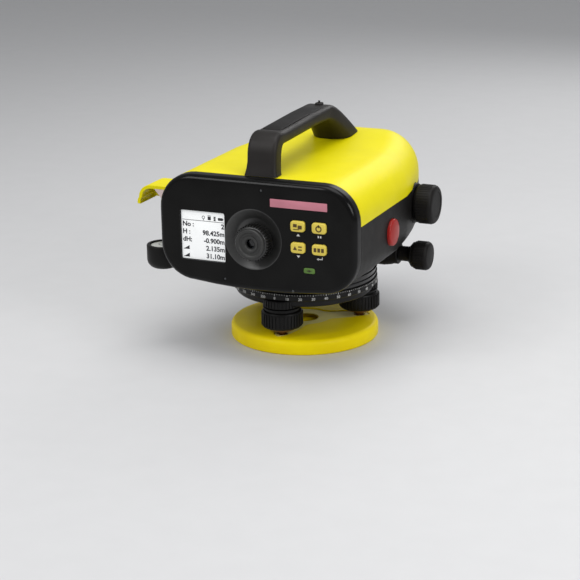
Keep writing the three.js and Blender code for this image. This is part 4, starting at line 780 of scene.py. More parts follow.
# %% The readings
letter, stroke, first_line, pitch = 3.7, 0.16, 7.2, 5.85
readings = [("No :", "2"), ("H :", "98.425m"), ("dH:", "-0.900m"), (None, "2.135m"), (None, "31.10m")]
for i, (label, value) in enumerate(readings):
    foot = head_z - first_line - pitch * i
    if label:
        marks.append(letters(label, letter, (left + 1.0, foot), bold=stroke))
    else:
        marks.append(wedge(4.6, 2.9, (left + 3.8, foot + 1.3)))
        marks.append(tile(4.8, 0.5, (left + 3.8, foot)))
    marks.append(letters(value, letter, (right - 0.6, foot), "RIGHT", stroke))
printed(marks, window_y - display_gap, "display_figures", "head", display_ink)

# %% [markdown]
# ## Keys, lamp and name strip
#
# The keys are moulded caps with a soft edge and a brown symbol each. Each cap rides on its own body,
# because each key can be pressed, and its symbol rides with it. The marks under the keys are printed
# on the panel in white, so they stay where they are.

# %% Symbols of the keys, as small flat shapes about the middle of each
symbols = {
    "key_upper_left": lambda x, z: [
        tile(3.0, 2.4, (x - 1.7, z + 0.7), 0.2), tile(3.2, 2.8, (x + 2.0, z - 0.3), 0.3),
        tile(4.6, 0.6, (x - 0.9, z - 2.1))],
    "key_upper_right": lambda x, z: [hoop(2.4, 0.9, (x, z - 0.2)), tile(0.9, 2.2, (x, z + 1.7))],
    "key_lower_left": lambda x, z: [
        wedge(3.2, 3.0, (x - 1.9, z), 0), tile(2.8, 0.9, (x + 2.0, z + 1.1)),
        tile(2.8, 0.9, (x + 2.0, z - 1.1))],
    "key_lower_right": lambda x, z: [tile(2.1, 3.0, (x + step, z), 0.2) for step in (-2.9, 0, 2.9)],
}

# %% Key caps
flange_width, flange_height = 13.8, 10.7
for name, (x, z) in keys_at.items():
    low, high = span(name)
    cap = slab(key_width, key_height, key_round, -high.y, -low.y, edge=0.7, at=(x, 0, z), axis="Y")
    flange = slab(flange_width, flange_height, key_round, -high.y, -(high.y - 1), at=(x, 0, z), axis="Y")
    settle(merged(cap, flange), name.replace("key", "cap"), name, key_yellow, [name])
    printed(symbols[name](x, z), low.y - ink_gap, name.replace("key", "symbol"), name, print_brown)

# %% Marks on the panel
left_x, right_x = keys_at["key_upper_left"][0], keys_at["key_upper_right"][0]
upper_z = keys_at["key_upper_left"][1] - key_height / 2 - 2.6
lower_z = keys_at["key_lower_left"][1] - key_height / 2 - 2.8
arrow_z = lower_z - 0.4
marks = [wedge(2.8, 1.8, (left_x, upper_z), 0), wedge(2.8, 1.8, (left_x, lower_z), 0, math.pi)]
marks += [tile(1.0, 1.6, (right_x + step, upper_z), 0.1) for step in (-0.9, 0.9)]
marks += [wedge(1.9, 1.6, (right_x - 1.6, arrow_z), 0, quarter)]
marks += [tile(3.2, 0.55, (right_x + 0.4, arrow_z)), tile(0.55, 1.9, (right_x + 2.0, lower_z + 0.3))]
printed(marks, face_y - ink_gap, "key_marks", "head", print_white)

# %% The lamp and the bare name strip
lens_cap = slab(lamp_wide, lamp_tall, lamp_round, -lamp_high.y, -lamp_low.y, edge=0.4,
                at=in_view(lamp_at), axis="Y")
settle(lens_cap, "lamp_cap", "head", lamp_green, ["indicator_lamp"])
lamp_cross = [tile(3.6, 0.7, lamp_at, 0.2), tile(0.7, 2.0, lamp_at, 0.2)]
printed(lamp_cross, lamp_low.y - ink_gap, "lamp_symbol", "head", print_dark)
strip = slab(strip_wide, strip_tall, 0.4, -strip_high.y, -strip_low.y, edge=0.1,
             at=in_view(strip_at), axis="Y")
settle(strip, "name_band", "head", strip_pink, ["name_strip"])

# %% [markdown]
# ## The eyepiece
#
# A ribbed ring sets the dioptres and a smooth cup keeps stray light out. Both are turned parts. The
# ribs are side faces of a drum, pushed out one by one, which is how a knurling wheel leaves its
# ridges. The cup has a rounded lip, a shallow step inside it and a small hole to look through.

# %% The dioptre ring and the barrel
ring_a, ring_b = span("dioptre_ring")
cup_a, cup_b = span("eyepiece_cup")
barrel_a, barrel_b = span("eyepiece_barrel")
cup_length = 2.2
knurl = ribbed_drum(13.5, 0.9, 38, cup_a.y + cup_length - 0.2, ring_b.y + 1.6, 1.0, "Y", on_sight)
ring_groove = turned(ring_profile(12.1, 16, ring_a.y + 1.2, ring_a.y + 2.2, 0.2), 72, "Y", on_sight)
knurl = carved(knurl, rod(10.6, -120, -60, "Y", on_sight), ring_groove)
settle(knurl, "dioptre_knurl", "dioptre", knurl_black, ["dioptre_ring"])
inner, outer = 9.0, 10.2
barrel = turned(
    [(inner, barrel_a.y), (outer, barrel_a.y), (outer, barrel_b.y), (inner, barrel_b.y),
     (inner, barrel_a.y)], 64, "Y", on_sight)
settle(barrel, "barrel", "head", dark_metal, ["eyepiece_barrel"])
print(f"cup {cup_a.y:.1f} to {cup_b.y:.1f} mm, ring {ring_a.y:.1f} to {ring_b.y:.1f} mm")

# %% The cup, from the hole out over the lip to the sleeve that slides in the barrel
hole_deep, lip_radius, sleeve = 3.6, 11.3, (5.6, 8.6)
lip = [
    (3.4, hole_deep), (3.5, 2.2), (4.0, 1.4), (4.6, 1.0), (6.2, 0.8), (6.5, 1.4), (8.2, 1.2), (8.7, 0.5),
    (9.4, 0.1), (10.2, 0), (10.8, 0.2), (11.2, 0.7), (lip_radius, 1.3), (lip_radius, cup_length - 0.4),
    (lip_radius - 0.3, cup_length), (sleeve[1], cup_length),
]
cup_profile = [(radius, cup_a.y + deep) for radius, deep in lip]
cup_profile += [(sleeve[1], cup_b.y), (sleeve[0], cup_b.y), (sleeve[0], cup_a.y + hole_deep), cup_profile[0]]
settle(turned(cup_profile, 96, "Y", on_sight), "eyecup", "dioptre", cup_rubber, ["eyepiece_cup"])

# %% [markdown]
# ## Knobs and the measuring button
#
# The focusing knob is large and finely ribbed, and the drive knob below it has a waist, so that the
# fingers feel which is which. The measuring button is a domed red cap. All three are turned parts,
# so they start as drums and lathe profiles on their own axes.

# %% The focusing knob
knob_end = focus_knob_high.x + 1.6
knob_face = [(0, knob_end - 0.3), (10.2, knob_end - 0.3), (10.8, knob_end + 1), (0, knob_end + 1)]
knob = ribbed_drum(15.4, 0.22, 44, focus_knob_low.x, knob_end, 2.8, "X", (0, *focus_at))
knob = carved(
    knob, rod(3.3, focus_knob_low.x - 3, focus_knob_low.x + 8, "X", (0, *focus_at), 32),
    turned(knob_face, 96, "X", (0, *focus_at)))
settle(knob, "focus_grip", "focus_control", rubber, ["focus_knob"])

# %% The drive knob
neck_start, knob_end = drive_knob_low.x, drive_knob_high.x
grip = ribbed_drum(11.4, 0.3, 32, knob_end - 13.2, knob_end, 2.4, "X", (0, *drive_at))
neck = [(0, 0), (5.5, 0), (5.9, 0.4), (5.9, 7.0), (6.6, 8.4), (8.4, 9.8), (9.9, 11.0), (9.9, 13), (0, 13)]
waist = turned([(radius, neck_start + along) for radius, along in neck], 64, "X", (0, *drive_at))
grip = carved(
    carved(grip, waist, how="UNION"),
    rod(2.9, neck_start - 3, knob_end - 6, "X", (0, *drive_at), 32))
settle(grip, "drive_grip", "drive_control", rubber, ["drive_knob"])

# %% The measuring button
stem_start, crown = button_low.x, button_high.x
stem_radius, stem_length, corner_steps = 6, 5, 5
dome = []
for i in range(corner_steps + 1):
    angle = quarter * i / corner_steps
    dome.append((button_radius - 1.6 + 1.6 * math.cos(angle), crown - 2.2 + 1.3 * math.sin(angle)))
dome += [(button_radius * share, crown - 0.9 * share**2) for share in (0.66, 0.45, 0.25, 0)]
cap = turned(
    [(0, stem_start), (stem_radius, stem_start), (stem_radius, stem_start + stem_length),
     (button_radius, stem_start + stem_length), *dome], 96, "X", (0, *button_at))
settle(cap, "button_cap", "button", red_cap, ["measure_button"])

# %% [markdown]
# ## The handle
#
# The handle is one moulding: a leaning rear leg, a flat bar and a front leg that spreads as it curves
# down to the cover. Sections of a rounded rectangle follow its middle line, and `bridge_loops` skins
# them. A groove along the top of the bar takes a softer strip, and a small sight stands in front.

# %% Sizes of the handle
bar_rise, bar_thick, leg_thick, half_wide, foot_half = 32.2, 10.5, 13, 11.6, 17
bar_top = roof_z + bar_rise
rear_foot, lean, foot_z = -73.3, 7, roof_z - 4
leg_run, leg_rise, foot_flare, corner_swell = 3, 14, 2.6, 0.9
bend_steps, leg_steps = 8, 18


def curve_point(p, q, r, t):
    """A point on a curve that leaves p towards q and arrives at r."""
    return p * (1 - t) ** 2 + q * 2 * t * (1 - t) + r * t**2


def handle_stations():
    """Centre, running angle, half thickness, half width and corner of each section."""
    mid = bar_top - bar_thick / 2
    tilt = math.atan2(bar_rise, lean)
    top_y = rear_foot + lean
    bend = bar_thick * 0.95
    line = []
    for t in (0, 0.3, 0.6, 1):
        wide = half_wide + foot_flare * (1 - t) ** 2
        line.append((rear_foot + leg_run * t, foot_z + leg_rise * t, tilt, leg_thick / 2, wide, 3))
    start = Vector((top_y - lean / 2, mid - bend))
    corner = Vector((top_y - 1.2, mid + 2.2))
    end = Vector((top_y + bend * 0.9, mid))
    for i in range(bend_steps + 1):
        t = i / bend_steps
        at = curve_point(start, corner, end, t)
        thick = leg_thick / 2 + (bar_thick - leg_thick) / 2 * t + corner_swell * math.sin(math.pi * t)
        line.append((at.x, at.y, tilt * (1 - t) ** 1.1, thick, half_wide, 3 + t))
    line.append((0, mid, 0, bar_thick / 2, half_wide, 4))
    outer = [Vector((34, bar_top)), Vector((37 + bar_thick, bar_top)), Vector((98, foot_z - 1.5))]
    bar_foot = bar_top - bar_thick
    inner = [Vector((22, bar_foot)), Vector((24 + bar_thick, bar_foot)), Vector((55, foot_z))]
    for i in range(leg_steps + 1):
        t = i / leg_steps
        high, low = curve_point(*outer, t), curve_point(*inner, t)
        at, across = (high + low) / 2, high - low
        wide = half_wide + (foot_half - half_wide) * t**1.5
        angle = math.atan2(-across.x, across.y)
        line.append((at.x, at.y, angle, across.length / 2, wide, 4 + 11 * t**1.6))
    return line


# %% Sections along the handle
handle_bm = bmesh.new()
loops = []
for y, z, angle, thick, wide, corner in handle_stations():
    made = bmesh.ops.create_grid(handle_bm, x_segments=1, y_segments=1, size=1)["verts"]
    bmesh.ops.scale(handle_bm, vec=(wide, thick, 1), verts=made)
    rounded(handle_bm, made, min(corner, 0.96 * thick, 0.96 * wide), 8, "VERTICES")
    face = next(f for f in handle_bm.faces if len(f.verts) > 30)
    place = Matrix.Translation((0, y, z)) @ Matrix.Rotation(angle, 4, "X") @ Matrix.Rotation(quarter, 4, "X")
    bmesh.ops.transform(handle_bm, matrix=place, verts=list(face.verts))
    edges = list(face.edges)
    bmesh.ops.delete(handle_bm, geom=[face], context="FACES_ONLY")
    loops.append(edges)
bridged(handle_bm, loops)
print("handle", len(loops), "sections")

# %% The strip's groove, the sight and the foot that meets the cover
handle_peak = span("handle")[1].z
pad_low, pad_high = span("handle_strip")
pad_mid, pad_long = (pad_low.y + pad_high.y) / 2, pad_high.y - pad_low.y
sight_y = 34
groove = slab(15.8, pad_long + 0.8, 2.8, bar_top - 2, bar_top + 5, at=(0, pad_mid, 0))
sight = slab(5.6, 6.4, 1.6, bar_top - 5, bar_top + 1.5, edge=0.7, at=(0, sight_y, 0))
bead = rod(0.8, bar_top, handle_peak, at=(0, sight_y, 0), steps=24)


def droop(bm):
    """The bar falls a little towards the operator, and the rear leg shortens with it."""
    droop_start, droop_run, droop_by = 5, 75, 2.8
    for v in bm.verts:
        back = min(1, max(0, (droop_start - v.co.y) / droop_run))
        up = min(1, max(0, (v.co.z - roof_z) / (bar_top - roof_z)))
        v.co.z -= droop_by * back**2 * up
    return bm


handle_piece = carved(carved(handle_bm, sight, bead, how="UNION"), groove, fitted_to_cover())
settle(droop(handle_piece), "carry_handle", "head", grip_black, ["handle"], sharp=36)
pad = slab(15, pad_long, 2.5, pad_low.z, pad_high.z, edge=0.5, at=(0, pad_mid, 0))
for cut_y in (pad_mid, pad_mid - 18):
    everything = pad.verts[:] + pad.edges[:] + pad.faces[:]
    bmesh.ops.bisect_plane(pad, geom=everything, plane_co=(0, cut_y, 0), plane_no=(0, 1, 0))
settle(droop(pad), "handle_pad", "head", rubber, ["handle_strip"])

# %% [markdown]
# ## The round level and its mirror
#
# A cup on the left flank holds a circular vial, and a yellow hood over it carries a mirror at
# forty-five degrees, so that the operator sees the bubble from behind. The hood comes level out of
# the cover, turns down in a wide round and flares out a little to its lip. Its outline is swept
# through `extrude_face_region`, once for the roof and once for the wall that closes its front.

# %% The cup
cup_low, cup_high = span("level_holder")
level_radius, cup_round, arm_half = 13, 7, 8
level_at = (cup_low.x + level_radius, (cup_low.y + cup_high.y) / 2)
cup_foot = cup_low.z + 2
foot_curve = arc((level_radius - cup_round, cup_foot + cup_round), cup_round, -quarter, 0, 8)
holder = turned(
    [(0, cup_foot), *foot_curve, (level_radius, cup_high.z - 0.8), (level_radius - 0.3, cup_high.z - 0.2),
     (level_radius - 0.9, cup_high.z), (0, cup_high.z)], 96, at=(*level_at, 0))
arm = brick(
    (level_at[0], level_at[1] - arm_half, cup_low.z + 6),
    (-39, level_at[1] + arm_half, cup_high.z - 2.6))
holder = carved(
    carved(holder, arm, how="UNION"),
    rod(level_radius - 2.6, cup_high.z - 8, cup_high.z + 3, at=(*level_at, 0)),
    fitted_to_cover())
settle(holder, "level_cup", "head", black_plastic, ["level_holder"])

# %% The vial and the ring printed on it
vial_low, vial_high = span("level_vial")
vial_radius, vial_crown = (vial_high.x - vial_low.x) / 2, 0.8
shares = (1, 0.85, 0.7, 0.5, 0.3, 0.15)
dome = [(vial_radius * share, vial_high.z - vial_crown * share**2) for share in shares]
vial = turned([(0, vial_low.z), (vial_radius, vial_low.z), *dome, (0, vial_high.z)], 64, at=(*level_at, 0))
settle(vial, "vial", "head", vial_white, ["level_vial"])
bubble_ring = ring_profile(3.4, 3.8, vial_high.z - 0.12, vial_high.z + 0.02, 0.02)
settle(turned(bubble_ring, 48, at=(*level_at, 0)), "vial_ring", "head", print_dark)

# %% The hood
roof_low, roof_high = span("mirror_hood")
hood_wall, hood_round, hood_root, round_steps = 2.6, 10, -60, 8
tip_x, top_z = roof_low.x, roof_high.z
shoulder_x, lip_z, blind_z = tip_x + 1.8, top_z - 15, top_z - 14


def hood_line(inset):
    """The hood's outline from the cover to the lip, seen along the line of sight."""
    shoulder, top, r = shoulder_x + inset, top_z - inset, hood_round - inset
    line = [Vector((hood_root, 0, top)), Vector((shoulder + r, 0, top))]
    for i in range(1, round_steps + 1):
        angle = quarter * i / round_steps
        line.append(Vector((shoulder + r - r * math.sin(angle), 0, top - r + r * math.cos(angle))))
    bend, tip = Vector((shoulder, 0, top - r)), Vector((tip_x + 0.6 + inset, 0, lip_z))
    between = Vector((tip_x + inset, 0, bend.z - 1.5))
    return line + [curve_point(bend, between, tip, i / round_steps) for i in range(1, round_steps + 1)]


def swept(outline, y_from, y_to):
    """A flat outline pulled along the line of sight."""
    bm = bmesh.new()
    bm.faces.new([bm.verts.new((p.x, y_from, p.z)) for p in outline])
    pulled_up(bm, (0, y_to - y_from, 0))
    bmesh.ops.recalc_face_normals(bm, faces=bm.faces)
    return bm


roof = swept(hood_line(0) + hood_line(hood_wall)[::-1], roof_low.y, roof_high.y)
blind = hood_line(hood_wall / 2)
blind += [Vector((shoulder_x + hood_wall, 0, blind_z)), Vector((hood_root, 0, blind_z))]
front = swept(blind, roof_high.y - hood_wall, roof_high.y)
hood = carved(carved(roof, front, how="UNION"), fitted_to_cover())
settle(hood, "bubble_hood", "head", yellow_shell, ["mirror_hood"], soft_edge=0.5)

# %% [markdown]
# ## The base plate
#
# The whole instrument stands on a yellow casting: a round disc with a full edge, a clover-shaped
# recess for the spring plate, a boss with the tripod's thread in the middle and three ball sockets.
# The disc is turned. The recess starts as a circle whose points are pushed out towards each foot.

# %% Sizes of the foot
ball_mm, ball_z, foot_circle = 5.0, 8.4, 43.3
recess_floor, recess_waist, recess_reach, lobe_power = 5.0, 21, 51.7, 5
plate_low, plate_high = span("base_plate")
plate_radius, plate_top = (plate_high.x - plate_low.x) / 2, plate_high.z
spring_low, spring_high = span("spring_plate")
tribrach_low, tribrach_high = span("tribrach")
foot_numbers = (1, 2, 3)
feet_at = [middle(f"foot_wheel_{n}", "xy") for n in foot_numbers]
print("feet at", [(round(x, 1), round(y, 1)) for x, y in feet_at])


def clover(inset, low, high):
    """The recess: a disc with a lobe that reaches out to each foot."""
    bm = bmesh.new()
    bmesh.ops.create_circle(bm, cap_ends=True, segments=180, radius=1)
    waist, reach = recess_waist - inset, recess_reach - inset
    for v in bm.verts:
        angle = math.atan2(v.co.y, v.co.x)
        lobe = ((1 + math.cos(3 * (angle + quarter))) / 2) ** lobe_power
        v.co *= waist + (reach - waist) * lobe
    pulled_up(bm, (0, 0, high - low))
    bmesh.ops.translate(bm, vec=(0, 0, low), verts=bm.verts)
    bmesh.ops.recalc_face_normals(bm, faces=bm.faces)
    return bm


def ball(radius, at):
    """A ball, as a cutter with a round nose leaves it."""
    bm = bmesh.new()
    bmesh.ops.create_uvsphere(bm, u_segments=32, v_segments=16, radius=radius)
    bm.transform(Matrix.Translation(at))
    return bm


# %% The disc, its boss and the thread
shoulder, edge_round = plate_top - 1.2, 4
edge_curve = arc((plate_radius - edge_round, shoulder - edge_round), edge_round, 0, quarter, 8)
disc = turned(
    [(0, 0), (plate_radius - 1.2, 0), (plate_radius - 0.4, 0.4), (plate_radius, 1.2), *edge_curve,
     (plate_radius - 8, plate_top - 0.4), (foot_circle, plate_top), (0, plate_top)], 160)
boss_low, boss_top, boss_wide = 3.8, 8.0, 13
boss = turned(
    [(0, boss_low), (boss_wide, boss_low), (boss_wide, boss_top - 0.8), (boss_wide - 0.8, boss_top),
     (0, boss_top)], 64)
thread_crest, thread_root, thread_turns = 7.4, 7.9, 6
thread = [(0, -3), (8.4, -3), (8.4, 0.2)]
for i in range(thread_turns):
    thread += [(thread_crest, 0.9 + i), (thread_root, 1.4 + i)]
thread += [(thread_crest, 7.0), (8.2, 7.9), (8.2, 9), (0, 9)]

# %% The base plate
sockets = [ball(ball_mm + 0.3, (x, y, ball_z)) for x, y in feet_at]
casting = carved(disc, clover(0, recess_floor, plate_top + 3))
casting = carved(casting, boss, how="UNION")
casting = carved(casting, turned(thread, 64), *sockets)
settle(casting, "base_casting", "base", yellow_base, ["base_plate"], sharp=34, soft_edge=0.4)

# %% The spring plate
leaf_play, leaf_hole, neck_hole, past = 1.2, 11, 4.55, 3
through_leaf = (spring_low.z - past, spring_high.z + past)
neck_holes = [rod(neck_hole, *through_leaf, at=(x, y, 0), steps=32) for x, y in feet_at]
leaf = clover(leaf_play, spring_low.z, spring_high.z)
leaf = carved(leaf, rod(leaf_hole, *through_leaf), *neck_holes)
settle(leaf, "spring_leaf", "base", leaf_paint_and_sheen, ["spring_plate"], sharp=30, soft_edge=0.15)

# %% [markdown]
# ## Foot screws and the tribrach
#
# Each screw is one turning: a ball, a neck, a collar and the threaded part. A ribbed wheel turns it
# in a boss of the tribrach. The thread is a row of ridges here, because it hides inside the wheel.
# The tribrach is one casting, so its flange, column, arms and bosses are joined.

# %% The profile of a foot screw
ball_neck, collar_radius, crest, root = 3.2, 11.2, 4.5, 4.1


def screw_profile_to(collar, end):
    """Ball, neck, collar and ridges of a foot screw, from the ball's foot to the top of the thread."""
    ball_top = math.acos(ball_neck / ball_mm)
    profile = [(0, ball_z - ball_mm), *arc((0, ball_z), ball_mm, -quarter, ball_top, 12)[1:]]
    profile += [(ball_neck, collar - 4.2), (5.0, collar - 4.0), (5.4, collar - 3.6)]
    profile += [(5.4, collar - 2.2), (5.0, collar - 1.8)]
    profile += [(collar_radius - 0.6, collar - 1.5), (collar_radius, collar - 1.0)]
    profile += [(collar_radius, collar), (crest, collar)]
    for i in range(int(end - collar - 1)):
        profile += [(crest, collar + i + 0.3), (root, collar + i + 0.8)]
    return profile + [(crest, end - 0.6), (3.9, end), (0, end)]


# %% Screws and wheels
wheel_radius, rib_depth, wheel_ribs, wheel_bore = 16, 0.7, 36, 4.8
wheel_neck, neck_lip = 13.4, 14.6
for n, (x, y) in zip(foot_numbers, feet_at):
    low, high = span(f"foot_wheel_{n}")
    screw = turned(screw_profile_to(low.z - 0.3, span(f"foot_screw_{n}")[1].z), 48, at=(x, y, 0))
    settle(screw, f"screw_{n}", f"foot_{n}", bronze, [f"foot_screw_{n}"])
    wheel = ribbed_drum(wheel_radius, rib_depth, wheel_ribs, low.z, high.z - 2.6, 1.8, at=(x, y, 0))
    neck = turned(
        [(0, low.z + 3), (wheel_neck, low.z + 3), (wheel_neck, high.z - 1.0), (neck_lip, high.z - 0.8),
         (neck_lip, high.z - 0.2), (neck_lip - 0.4, high.z), (0, high.z)], 72, at=(x, y, 0))
    bore = rod(wheel_bore, low.z - 3, high.z + 3, at=(x, y, 0), steps=32)
    wheel = carved(carved(wheel, neck, how="UNION"), bore)
    settle(wheel, f"wheel_{n}", f"foot_{n}", black_plastic, [f"foot_wheel_{n}"])

# %% The tribrach
hub_z, flange_z, column_z = tribrach_low.z, 42.0, tribrach_high.z
boss_z, flange_thick, flange_radius, column_radius = 35.1, 5, 53, 22
boss_ribs, arm_wide, screw_bore = 34, 13, 4.9
body = turned(
    [(0, hub_z), (14.4, hub_z), (15, hub_z + 0.6), (column_radius, flange_z - flange_thick),
     (flange_radius - 0.8, flange_z - flange_thick), (flange_radius, flange_z - 4.2),
     (flange_radius, flange_z - 0.6), (flange_radius - 0.6, flange_z), (column_radius, flange_z),
     (column_radius, column_z - 0.5), (column_radius - 0.5, column_z), (0, column_z)], 144)
limbs = []
for x, y in feet_at:
    limbs.append(ribbed_drum(14.6, rib_depth, boss_ribs, boss_z, flange_z - 0.4, 0.5, at=(x, y, 0)))
    arm = slab(foot_circle, arm_wide, 0, boss_z, flange_z, at=(foot_circle / 2, 0, 0))
    arm.transform(Matrix.Rotation(math.atan2(y, x), 4, "Z"))
    limbs.append(arm)
screw_bores = [rod(screw_bore, 30, flange_z - 1, at=(x, y, 0), steps=32) for x, y in feet_at]
tribrach = carved(carved(body, *limbs, how="UNION"), rod(spindle_bore, 20, 60), *screw_bores)
settle(tribrach, "levelling_head", "base", cast_black, ["tribrach"], soft_edge=0.25)

# %% [markdown]
# ## The horizontal circle
#
# The ring under the skirt can be set to zero by hand. Its scale is printed in white: a tick for every
# second degree, a longer one and a figure for each ten. The figures are text objects made into
# meshes, each laid on the rim at its own angle.

# %% The ring
ring_radius, ring_bore = (ring_high.x - ring_low.x) / 2, 47
ring = turned(
    [(ring_bore, ring_low.z), (ring_radius - 0.8, ring_low.z), (ring_radius, ring_low.z + 0.8),
     (ring_radius, ring_high.z - 0.3), (ring_radius - 0.3, ring_high.z), (ring_bore, ring_high.z),
     (ring_bore, ring_low.z)], 180)
settle(ring, "circle", "ring", black_plastic, ["circle_ring"])


# %% The scale
def on_rim(mark, degree):
    """Lays a mark that faces the operator on the ring's rim, at its angle."""
    bmesh.ops.translate(mark, vec=(0, -ring_radius - 0.02, 0), verts=mark.verts)
    mark.transform(Matrix.Rotation(math.radians(degree), 4, "Z"))
    return mark


tick_pitch, figure_pitch = 2, 10
scale_marks = []
for degree in range(0, 360, tick_pitch):
    wide, tall = (0.28, 0.8) if degree % figure_pitch else (0.4, 1.5)
    scale_marks.append(on_rim(tile(wide, tall, (0, ring_high.z - 0.25 - tall / 2)), degree))
for degree in range(0, 360, figure_pitch):
    figure = letters(str(degree), 2.1, (0, ring_low.z + 0.95), "CENTER", 0.03)
    scale_marks.append(on_rim(figure, degree))
settle(merged(*scale_marks), "circle_scale", "ring", print_white)

# %% [markdown]
# ## The objective
#
# The hood stands in the nose and shades the front lens. Inside, a row of sharp steps breaks up stray
# light. Hood and lens are turned parts, and the lens gets two shallow domed faces.

# %% The hood with its steps
hood_back, hood_front = hood_low.y, hood_high.y
lens_low, lens_high = span("objective_lens")
seat_radius, hood_radius, mouth_radius, throat_radius = 21.3, 27.4, 24.4, 21.6
step_count, step_depth, step_long = 5, 0.35, 0.7
steps_run = hood_front - 1.2 - lens_high.y - 1.6
steps_in = []
for i in range(step_count + 1):
    r = mouth_radius - (mouth_radius - throat_radius) * i / step_count
    y = hood_front - 0.9 - steps_run * i / step_count
    steps_in += [(r, y), (r - step_depth, y - step_long)]
hood = turned(
    [(seat_radius, hood_back), (hood_radius - 0.4, hood_back), (hood_radius, hood_back + 0.4),
     (hood_radius, hood_front - 1.6), (hood_radius - 0.3, hood_front - 0.6),
     (hood_radius - 1.0, hood_front), (25.2, hood_front), (24.8, hood_front - 0.3), *steps_in,
     (seat_radius, lens_high.y + 0.4), (seat_radius, hood_back)], 128, "Y", on_sight)
settle(hood, "sun_hood", "head", black_plastic, ["objective_hood"], sharp=24)

# %% The front lens
front_radius, lens_dome, lens_steps = (lens_high.x - lens_low.x) / 2, 1.8, 8
shares = [i / lens_steps for i in range(lens_steps + 1)]
back_face = [(front_radius * share, lens_low.y + lens_dome * share**2) for share in shares]
front_face = [(front_radius * share, lens_high.y - lens_dome * share**2) for share in shares[::-1]]
front_lens = turned(back_face + front_face, 96, "Y", on_sight)
settle(front_lens, "front_lens", "head", coated_glass, ["objective_lens"])

# %% [markdown]
# ## The battery door
#
# The door lies on the left flank and follows its curve: it is the housing's own form, a little
# larger, cut to a rounded patch. Its knuckle sits between the two lugs of the shell. The latch slides
# to free it, and three grooves give the thumb a hold.

# %% The door
door_proud, knuckle_play = 2.8, 0.4
door_mid = (door_low.y + door_high.y) / 2
patch_z = (door_low.z + hinge_z) / 2
patch = slab(door_high.y - door_low.y, hinge_z - door_low.z, 3.5, 40, 160)
patch.transform(Matrix.Rotation(quarter, 4, "X"))
patch.transform(Matrix.Rotation(-quarter, 4, "Z"))
patch.transform(Matrix.Translation((0, door_mid, patch_z)))
door = carved(housing_body(shell_rear, door_proud), fitted_to_cover())
door = carved(door, patch, how="INTERSECT")
notches = []
for y in lug_starts:
    low = (hinge_x - 4, y - knuckle_play, hinge_z - hinge_radius - knuckle_play)
    notches.append(brick(low, (-40, y + knuckle + knuckle_play, hinge_z + 3)))
knuckle_run = (lug_starts[0] + knuckle + knuckle_play, lug_starts[1] - knuckle_play)
inner_knuckle = rod(hinge_radius, *knuckle_run, "Y", (hinge_x, 0, hinge_z), 32)
door = carved(carved(door, *notches), inner_knuckle, how="UNION")
settle(door, "battery_cover", "door", black_shell, ["battery_door"], soft_edge=0.3)

# %% The latch
latch_low, latch_high = span("door_latch")
groove_wide, groove_deep, groove_inset = 0.7, 0.5, 1.5
grooves = []
for z in (latch_low.z + 1.2, latch_low.z + 2.6, latch_low.z + 4.0):
    low = (latch_low.x - 1, latch_low.y + groove_inset, z)
    grooves.append(brick(low, (latch_low.x + groove_deep, latch_high.y - groove_inset, z + groove_wide)))
tab = carved(brick(latch_low, latch_high), *grooves)
settle(tab, "latch_tab", "latch", black_plastic, ["door_latch"], soft_edge=0.3)

# %% [markdown]
# ## Finishes for the inner parts
#
# The parts inside keep their CAD form, because they only show when something is opened or taken apart. Each
# gets the finish of the real one: blackened tubes, glass, steel, brass and green boards. The bubble mirror's
# pink tint is a painted reflection.

# %% Dress the parts that keep their CAD form
inner_looks = {
    "display_module": dark_metal, "key_board": board_green, "telescope_tube": dark_metal,
    "compensator_frame": brass, "beam_splitter": plain_glass, "sensor_board": board_green,
    "main_board": board_green, "bubble_mirror": mirror_painted_pink_reflection, "cell_1": cell_can, "cell_2": cell_can,
    "cell_3": cell_can, "cell_4": cell_can, "battery_holder": black_plastic, "spindle": steel,
    "worm_wheel": brass, "focus_shaft": steel, "focus_cell": brass, "focus_lens": plain_glass,
    "drive_shaft": steel, "eye_lens": eye_glass, "pendulum": brass,
}
for name, look in inner_looks.items():
    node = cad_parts[name]
    node.data.materials.clear()
    node.data.materials.append(look)
shown = [name for name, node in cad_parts.items() if not node.hide_render]
print("nodes without a finish:", [name for name in shown if name not in inner_looks])
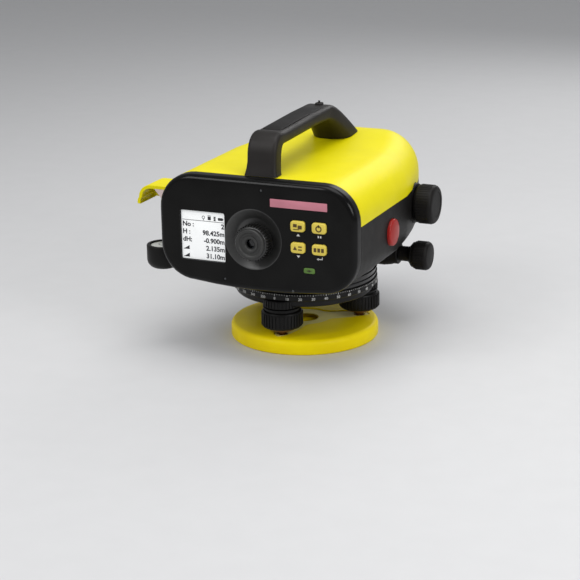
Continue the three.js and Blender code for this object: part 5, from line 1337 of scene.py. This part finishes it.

# %% [markdown]
# ## Floor, light and camera
#
# The instrument stands on a plain pale floor under an even sky. Four soft area lamps light it: a wide one
# overhead, one on each side in front and a weak one behind. The left one stands where the lower wall of the
# panel's dish mirrors it to the camera, and together with the dish's painted lighter colour that is what
# draws the dish on a black panel.
# The camera has a long lens and looks down a little on the panel, as in the photograph.

# %% The floor and the sky
paper_size, sky_strength = 8, 0.45
paper = bmesh.new()
bmesh.ops.create_grid(paper, x_segments=1, y_segments=1, size=paper_size)
paper_mesh = bpy.data.meshes.new("floor")
paper.to_mesh(paper_mesh)
paper.free()
floor = in_scene("floor", paper_mesh)
floor.data.materials.append(finish("floor_paper", (0.60, 0.60, 0.605), 0.6, drift=0.01))

world = bpy.data.worlds.new("studio")
bpy.context.scene.world = world
world.use_nodes = True
sky = world.node_tree.nodes["Background"].inputs
sky["Color"].default_value = (0.80, 0.81, 0.83, 1)
sky["Strength"].default_value = sky_strength
bpy.context.scene.view_settings.view_transform = "Standard"


# %% Four lamps, with places and sizes in metres and power in watts
def lamp(name, place, size, power):
    """A soft area lamp that looks at the middle of the instrument."""
    data = bpy.data.lights.new(name, "AREA")
    data.energy, data.size = power, size
    thing = in_scene(name, data)
    thing.location = place
    thing.rotation_euler = (lit_point - Vector(place)).to_track_quat("-Z", "Y").to_euler()


lit_point = Vector((0, 0, 0.09))
lamp("overhead", (0.15, -0.15, 1.2), 0.9, 9.0)
lamp("left", (-0.58, -0.95, 0.95), 0.6, 6)
lamp("right", (1.1, -0.5, 0.6), 0.5, 5)
lamp("behind", (0.1, 1.1, 0.7), 0.6, 3)

# %% The camera
camera_at = Vector((509.0, -1178.8, 435.6))
aim_at = Vector((-12.31, 0, 32.75))
roll = math.radians(-0.94)
lens = bpy.data.cameras.new("camera")
lens.lens, lens.sensor_width = 106.7, 36
camera = in_scene("camera", lens)
camera.location = to_place @ camera_at
turn = (aim_at - camera_at).to_track_quat("-Z", "Y").to_matrix() @ Matrix.Rotation(roll, 3, "Z")
camera.rotation_euler = turn.to_euler()
bpy.context.scene.camera = camera
